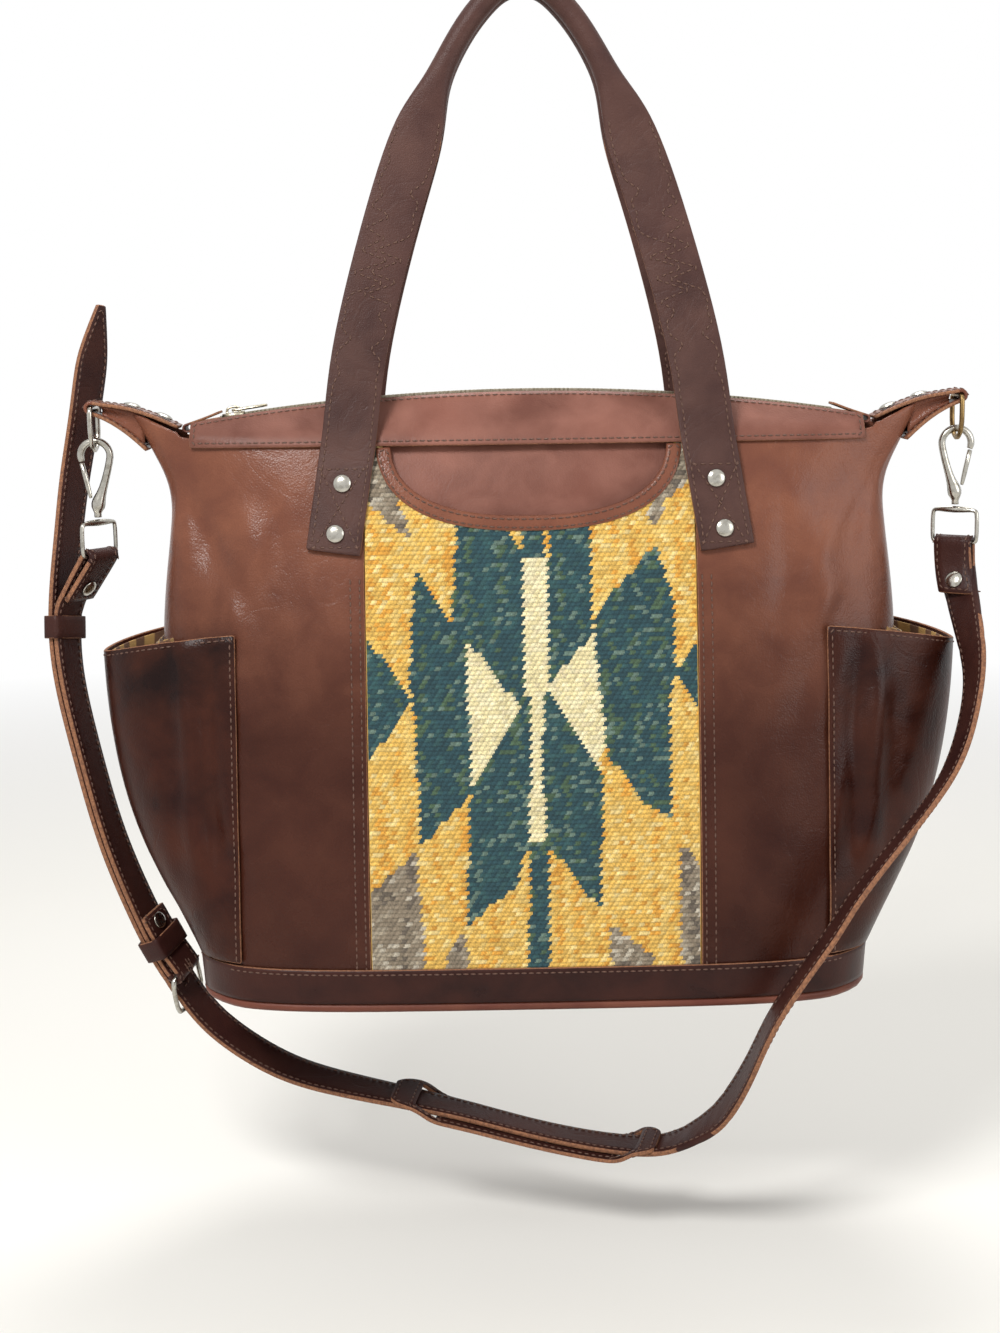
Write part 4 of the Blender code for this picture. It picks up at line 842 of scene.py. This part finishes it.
def makeTeeth():
    radius = zipTeeth["arcRadius"]
    middle = zipTeeth["top"] - radius
    reach = math.asin(zipTeeth["halfLength"] / radius)
    steps = zipTeeth["steps"]
    lines = []
    for side in (-1, 1):
        shift = zipTeeth["stagger"] * side * zipTeeth["pitch"] / radius
        line = []
        for step in range(steps + 1):
            angle = -reach + 2 * reach * step / steps + shift
            height = middle + (radius + zipTeeth["lift"]) * math.cos(angle)
            line.append((radius * math.sin(angle), side * zipTeeth["rowOffset"], height))
        lines.append(line)
    values = {
        "Pitch": zipTeeth["pitch"],
        "Length": zipTeeth["toothLength"],
        "Width": zipTeeth["toothWidth"],
        "Height": zipTeeth["toothHeight"],
    }
    teeth = repeatAlong("zipTeeth", lines, toothTree, values, zipMetal, smooth=False)
    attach(teeth, "bag")
    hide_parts("zip_chain")


makeTeeth()
print("zip ready")


# Woven panel: rows of wool knots, dyed in stepped diamonds and feathers

weaving = {
    "knotWidth": 0.0030,
    "knotHeight": 0.0024,
    "across": 4,            # mesh steps across a knot
    "down": 3,
    "slant": 0.60,          # how far a knot leans, in knots
    "groove": 0.45,         # height left between two rows
    "relief": 0.0008,
    "lift": 0.0004,
    "roundness": 0.6,       # power of a knot's profile, lower is fuller
    "shade": (0.42, 0.66),  # painted shade: the dye's share left in a groove, and how much painted light a knot's top adds
    "fleckShare": 0.11,
    "streaks": (190, 14),   # waves a metre across and up
    "streakShare": 0.9,
    "streakChance": 0.5,
    "lighter": 0.28,        # streaks over this take the second dye, under the next the last
    "darker": -0.38,
    "bright": (0.80, 1.10),
    "halfWidth": 0.0905,
    "top": -0.2390,
    "foot": -0.5330,
    "inFront": -0.3,        # a y in front of the bag
    "seed": 7,
}
dyes = {
    "gold": ((0.80, 0.49, 0.105), (0.84, 0.57, 0.165), (0.74, 0.36, 0.050)),
    "teal": ((0.020, 0.066, 0.080), (0.030, 0.090, 0.095), (0.070, 0.125, 0.070)),
    "cream": ((0.86, 0.74, 0.41), (0.90, 0.80, 0.50)),
    "grey": ((0.27, 0.215, 0.150), (0.37, 0.31, 0.225), (0.15, 0.12, 0.090)),
}
flecks = {
    "gold": (0.88, 0.66, 0.26),
    "teal": (0.13, 0.20, 0.16),
    "cream": (0.84, 0.72, 0.44),
    "grey": (0.52, 0.46, 0.36),
}
# outlines in millimetres across the panel and up from the hang point
motifs = (
    ("grey", [(-94, -239), (-83, -241), (-64, -293), (-78, -284), (-86, -275), (-94, -262)]),
    ("grey", [(80, -243), (94, -241), (91, -257), (90, -262), (75, -274), (69, -291), (65, -280)]),
    ("teal", [(-39, -277), (-15, -277), (-14, -287), (-4, -301), (-5, -375), (-3, -380), (-7, -384),
              (-36, -346), (-44, -338)]),
    ("teal", [(-5, -277), (8, -278), (7, -303), (-4, -303)]),
    ("teal", [(11, -278), (34, -278), (34, -344), (8, -373), (8, -303), (11, -303)]),
    ("teal", [(-63, -310), (-56, -321), (-50, -330), (-43, -338), (-36, -346), (-34, -427), (-36, -432),
              (-49, -445), (-62, -459), (-63, -436), (-65, -388), (-67, -373), (-66, -347)]),
    ("teal", [(68, -297), (58, -310), (42, -325), (35, -335), (34, -344), (40, -406), (41, -412), (49, -421),
              (61, -437), (75, -446), (76, -375), (79, -367), (78, -328), (73, -310)]),
    ("teal", [(-98, -335), (-92, -342), (-67, -379), (-92, -417), (-100, -427)]),
    ("teal", [(98, -344), (93, -349), (79, -365), (93, -392), (98, -399)]),
    ("teal", [(-2, -380), (-32, -424), (-35, -437), (-38, -505), (-25, -492), (-10, -482), (-7, -469),
              (-3, -458)]),
    ("teal", [(7, -379), (23, -400), (34, -417), (38, -422), (36, -496), (20, -476), (11, -463),
              (6, -458)]),
    ("teal", [(-3, -455), (8, -455), (7, -543), (-4, -543)]),
    ("teal", [(-8, -372), (12, -368), (30, -410), (38, -422), (36, -440), (-36, -440), (-34, -427),
              (-8, -385)]),
    ("cream", [(-36, -346), (-7, -384), (-34, -427)]),
    ("cream", [(34, -344), (40, -406), (35, -417), (23, -400), (10, -377), (10, -371)]),
    ("cream", [(-4, -303), (10, -303), (10, -375), (7, -379), (5, -406), (6, -457), (-3, -457), (-1, -406),
               (-2, -379), (-5, -375)]),
    ("grey", [(-92, -486), (-65, -462), (-61, -517), (-63, -542), (-92, -541)]),
    ("grey", [(-49, -519), (-39, -506), (-37, -525), (-37, -543), (-50, -542)]),
    ("grey", [(41, -503), (64, -521), (65, -544), (42, -544)]),
    ("grey", [(79, -458), (95, -477), (95, -545), (81, -545)]),
)


def insideOutline(x, z, outline):
    inside = False
    for (x1, z1), (x2, z2) in zip(outline, outline[1:] + outline[:1]):
        if (z1 > z) != (z2 > z) and x < (x2 - x1) * (z - z1) / (z2 - z1) + x1:
            inside = not inside
    return inside


def dyeAt(x, z):
    found = "gold"
    for name, outline in motifs:
        if insideOutline(x * 1000, z * 1000, outline):
            found = name
    return found


def knotPhase(row, column):
    # the knot row that a mesh row is in, and how many knots along it a mesh column is
    perRow = weaving["down"]
    knotRow = row // perRow
    within = row % perRow / perRow
    shift = 0.5 if knotRow % 2 else 0.0
    return knotRow, column / weaving["across"] + shift + weaving["slant"] * within


def knotTint(knotRow, knotColumn, chance):
    x = -weaving["halfWidth"] + (knotColumn + (0.0 if knotRow % 2 else 0.5)) * weaving["knotWidth"]
    z = weaving["top"] - (knotRow + 0.5) * weaving["knotHeight"]
    yarnName = dyeAt(x, z)
    dyed = dyes[yarnName]
    across, up = weaving["streaks"]
    streak = noise.noise(Vector((x * across, z * up, 0))) * weaving["streakShare"]
    streak += chance.uniform(-weaving["streakChance"], weaving["streakChance"])
    shade = dyed[1] if streak > weaving["lighter"] else dyed[-1] if streak < weaving["darker"] else dyed[0]
    if chance.random() < weaving["fleckShare"]:
        shade = flecks[yarnName]
    bright = chance.uniform(*weaving["bright"])
    return shade[0] * bright, shade[1] * bright, shade[2] * bright


def makeWeave(backing):
    chance = random.Random(weaving["seed"])
    surface = surfaceOf(backing)
    wide, tall = weaving["knotWidth"] / weaving["across"], weaving["knotHeight"] / weaving["down"]
    across = int(2 * weaving["halfWidth"] / wide)
    down = int((weaving["top"] - weaving["foot"]) / tall)
    grooveShade, knotShade = weaving["shade"]
    shape = bmesh.new()
    dyeAndPaintedShade = shape.loops.layers.float_color.new("yarn")
    grid = {}
    paintedShade = {}
    for row in range(down + 1):
        z = weaving["top"] - row * tall
        for column in range(across + 1):
            x = -weaving["halfWidth"] + column * wide
            hit = surface.ray_cast(Vector((x, weaving["inFront"], z)), Vector((0, 1, 0)))
            if hit[0] is None or hit[1].y > -0.3:
                continue
            phase = knotPhase(row, column)[1]
            rise = abs(math.sin(math.pi * phase)) ** weaving["roundness"]
            rise *= weaving["groove"] if row % weaving["down"] == 0 else 1.0
            lift = weaving["lift"] + weaving["relief"] * rise
            # painted shade: darker in the grooves between knots, lighter on a knot's top
            paintedShade[row, column] = grooveShade + knotShade * rise
            grid[row, column] = shape.verts.new(hit[0] + hit[1] * lift)
    tints = {}
    for row in range(down):
        for column in range(across):
            keys = ((row, column), (row + 1, column), (row + 1, column + 1), (row, column + 1))
            corners = [grid.get(key) for key in keys]
            if None in corners:
                continue
            face = shape.faces.new(corners)
            face.smooth = True
            knotRow, phase = knotPhase(row, column)
            key = (knotRow, int(phase))
            if key not in tints:
                tints[key] = knotTint(*key, chance)
            # each corner gets its knot's dye times the painted shade
            for loop, corner in zip(face.loops, keys):
                depth = paintedShade[corner]
                loop[dyeAndPaintedShade] = (*(depth * part for part in tints[key]), 1.0)
    mesh = bpy.data.meshes.new("wovenFront")
    shape.to_mesh(mesh)
    shape.free()
    mesh.materials.append(yarn)
    piece = bpy.data.objects.new("wovenFront", mesh)
    scene.collection.objects.link(piece)
    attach(piece, "bag")


fine["front_woven_panel"] = dress("front_woven_panel", [textileBack])
makeWeave(fine["front_woven_panel"])
print("woven panel ready")
# Stitch rows

seams = {
    "panelMargins": (0.0026, 0.0078),   # the double row beside the woven panel
    "panelHalf": 0.115,                 # seams of the woven panel are nearer the middle than this
    "panelTop": -0.305,
    "pocketFoot": -0.524,
    "bandFoot": -0.537,
    "bindingMargin": 0.0018,
    "boxHalf": 0.0118,                  # crossed box round a handle's two rivets
    "boxRise": 0.0075,
}


def outward(point, normal):
    return point.x * normal.x + point.y * normal.y > 0


def besideWeave(point, normal, along):
    upright = abs(normal.y) > 0.5 and abs(along.z) > 0.7 and outward(point, normal)
    return upright and abs(point.x) < seams["panelHalf"] and point.z < seams["panelTop"]


for side in ("left", "right"):
    node = side + "_side_panel"
    for margin in seams["panelMargins"]:
        stitchEdges("bodyStitches", node, fine[node], besideWeave, margin)
    node = "side_pocket_" + side
    stitchEdges("bodyStitches", node, fine[node], lambda p, n, t: outward(p, n) and p.z > seams["pocketFoot"])
    node = "wing_tab_" + side
    stitchEdges("bodyStitches", node, fine[node], lambda p, n, t: n.z > 0.3)
node = "scoop_binding"
stitchEdges("bodyStitches", node, fine[node], lambda p, n, t: n.y < -0.3, seams["bindingMargin"])
for node, sign in (("front_zip_panel", -1), ("back_zip_panel", 1)):
    stitchEdges("bodyStitches", node, fine[node], lambda p, n, t: n.y * sign > 0.05)
node = "base_band"
stitchEdges("bodyStitches", node, fine[node], lambda p, n, t: outward(p, n) and p.z > seams["bandFoot"])
for node in ("front_handle", "back_handle"):
    handleRows(fine[node])
for node in ("strap_long", "strap_short", "shoulder_pad"):
    stitchEdges("strapStitches", node, fine[node], lambda p, n, t: True)

# the crossed box on each handle's foot
for side, depth in (("front", -1), ("back", 1)):
    for hand in ("left", "right"):
        upper = sum(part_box(f"handle_rivet_{side}_{hand}_upper"), Vector()) / 2
        lower = sum(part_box(f"handle_rivet_{side}_{hand}_lower"), Vector()) / 2
        half = Vector((seams["boxHalf"], 0, 0))
        rise = Vector((0, 0, seams["boxRise"]))
        corners = [upper + rise - half, upper + rise + half, lower - rise + half, lower - rise - half]
        handle = fine[side + "_handle"]
        for pair in ((0, 1), (2, 3), (0, 2), (1, 3)):
            ends = [corners[place].copy() for place in pair]
            for end in ends:
                end.y = 0
            stitchLine("handleStitches", handle, ends, (0, -depth, 0))

for group, lines in rows.items():
    values = {
        "Pitch": stitching["pitch"],
        "Length": stitching["length"],
        "Width": stitching["width"],
        "Height": stitching["width"],
    }
    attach(repeatAlong(group, lines, stitchTree, values, thread), "bag")
print("stitches ready")


# Studio: floor, soft lamps, camera

studio = {
    "floorHeight": -0.700,
    "floorHalf": 6.0,
    "floorColour": (0.84, 0.82, 0.77, 1.0),
    "floorRoughness": 0.6,
    "floorFade": (1.1, 2.2),        # metres out, where the floor begins to fade and is gone
    "key": 33.0,
    "fill": 8.0,
    "top": 14.0,
    "world": 0.44,
    "white": (1.0, 1.0, 1.0, 1.0),
}
view = {
    "place": (-0.0310, -1.16, -0.180),
    "angles": (0.689, 9.4, -0.818),     # yaw, pitch and roll in degrees
    "focal": 2037.0,                    # in pixels of the 1000 x 1333 picture
    "pictureHeight": 1333.0,
    "sensor": 36.0,
}


def seenDirectly(tree):
    path = tree.nodes.new("ShaderNodeLightPath")
    seen = mathNode(tree, "MAXIMUM", path.outputs["Is Camera Ray"], path.outputs["Is Glossy Ray"])
    return mathNode(tree, "MAXIMUM", seen, path.outputs["Is Transmission Ray"])


def makeStudio():
    mesh = bpy.data.meshes.new("floor")
    shape = bmesh.new()
    bmesh.ops.create_grid(shape, x_segments=8, y_segments=8, size=studio["floorHalf"])
    shape.to_mesh(mesh)
    shape.free()
    mesh.transform(Matrix.Translation((0, 0, studio["floorHeight"])))
    floor = bpy.data.objects.new("floor", mesh)
    scene.collection.objects.link(floor)
    material, tree, shader = newMaterial("paleFloor")
    shader.inputs["Base Color"].default_value = studio["floorColour"]
    shader.inputs["Roughness"].default_value = studio["floorRoughness"]
    place = tree.nodes.new("ShaderNodeTexCoord").outputs["Object"]
    length = addNode(tree, "ShaderNodeVectorMath", operation="LENGTH")
    tree.links.new(place, length.inputs[0])
    far = ramp(tree, length.outputs["Value"], *studio["floorFade"])
    white = tree.nodes.new("ShaderNodeEmission")
    white.inputs["Color"].default_value = studio["white"]
    blend = tree.nodes.new("ShaderNodeMixShader")
    tree.links.new(mathNode(tree, "MULTIPLY", far, seenDirectly(tree)), blend.inputs["Fac"])
    tree.links.new(shader.outputs["BSDF"], blend.inputs[1])
    tree.links.new(white.outputs["Emission"], blend.inputs[2])
    output = [node for node in tree.nodes if node.type == "OUTPUT_MATERIAL"][0]
    tree.links.new(blend.outputs["Shader"], output.inputs["Surface"])
    mesh.materials.append(material)

    world = bpy.data.worlds.new("studioWorld")
    scene.world = world
    world.use_nodes = True
    tree = world.node_tree
    tree.nodes.clear()
    output = tree.nodes.new("ShaderNodeOutputWorld")
    dim = tree.nodes.new("ShaderNodeBackground")
    dim.inputs["Color"].default_value = studio["white"]
    dim.inputs["Strength"].default_value = studio["world"]
    white = tree.nodes.new("ShaderNodeBackground")
    white.inputs["Color"].default_value = studio["white"]
    blend = tree.nodes.new("ShaderNodeMixShader")
    tree.links.new(seenDirectly(tree), blend.inputs["Fac"])
    tree.links.new(dim.outputs["Background"], blend.inputs[1])
    tree.links.new(white.outputs["Background"], blend.inputs[2])
    tree.links.new(blend.outputs["Shader"], output.inputs["Surface"])


def addLamp(name, place, aim, size, power):
    lamp = bpy.data.lights.new(name, "AREA")
    lamp.shape = "DISK"
    lamp.size = size
    lamp.energy = power
    thing = bpy.data.objects.new(name, lamp)
    thing.location = place
    thing.rotation_euler = (Vector(aim) - Vector(place)).to_track_quat("-Z", "Y").to_euler()
    scene.collection.objects.link(thing)


def addCamera():
    yaw, pitch, roll = (math.radians(angle) for angle in view["angles"])
    level = math.cos(pitch)
    forward = Vector((math.sin(yaw) * level, math.cos(yaw) * level, -math.sin(pitch)))
    across = Vector((math.cos(yaw), -math.sin(yaw), 0))
    upward = across.cross(forward)
    right = math.cos(roll) * across + math.sin(roll) * upward
    top = -math.sin(roll) * across + math.cos(roll) * upward
    data = bpy.data.cameras.new("camera")
    data.sensor_width = view["sensor"]
    data.lens = view["focal"] / view["pictureHeight"] * view["sensor"]
    camera = bpy.data.objects.new("camera", data)
    turn = Matrix((right, top, -forward)).transposed().to_4x4()
    camera.matrix_world = Matrix.Translation(view["place"]) @ turn
    scene.collection.objects.link(camera)
    scene.camera = camera


makeStudio()
addLamp("keyLamp", (-0.7, -1.3, 1.0), (0, 0, -0.38), 0.6, studio["key"])
addLamp("fillLamp", (1.3, -0.9, 0.1), (0, 0, -0.38), 1.0, studio["fill"])
addLamp("topLamp", (0.1, 0.7, 1.1), (0, 0, -0.35), 0.9, studio["top"])
addCamera()
scene.view_settings.view_transform = "Standard"
print("studio ready")
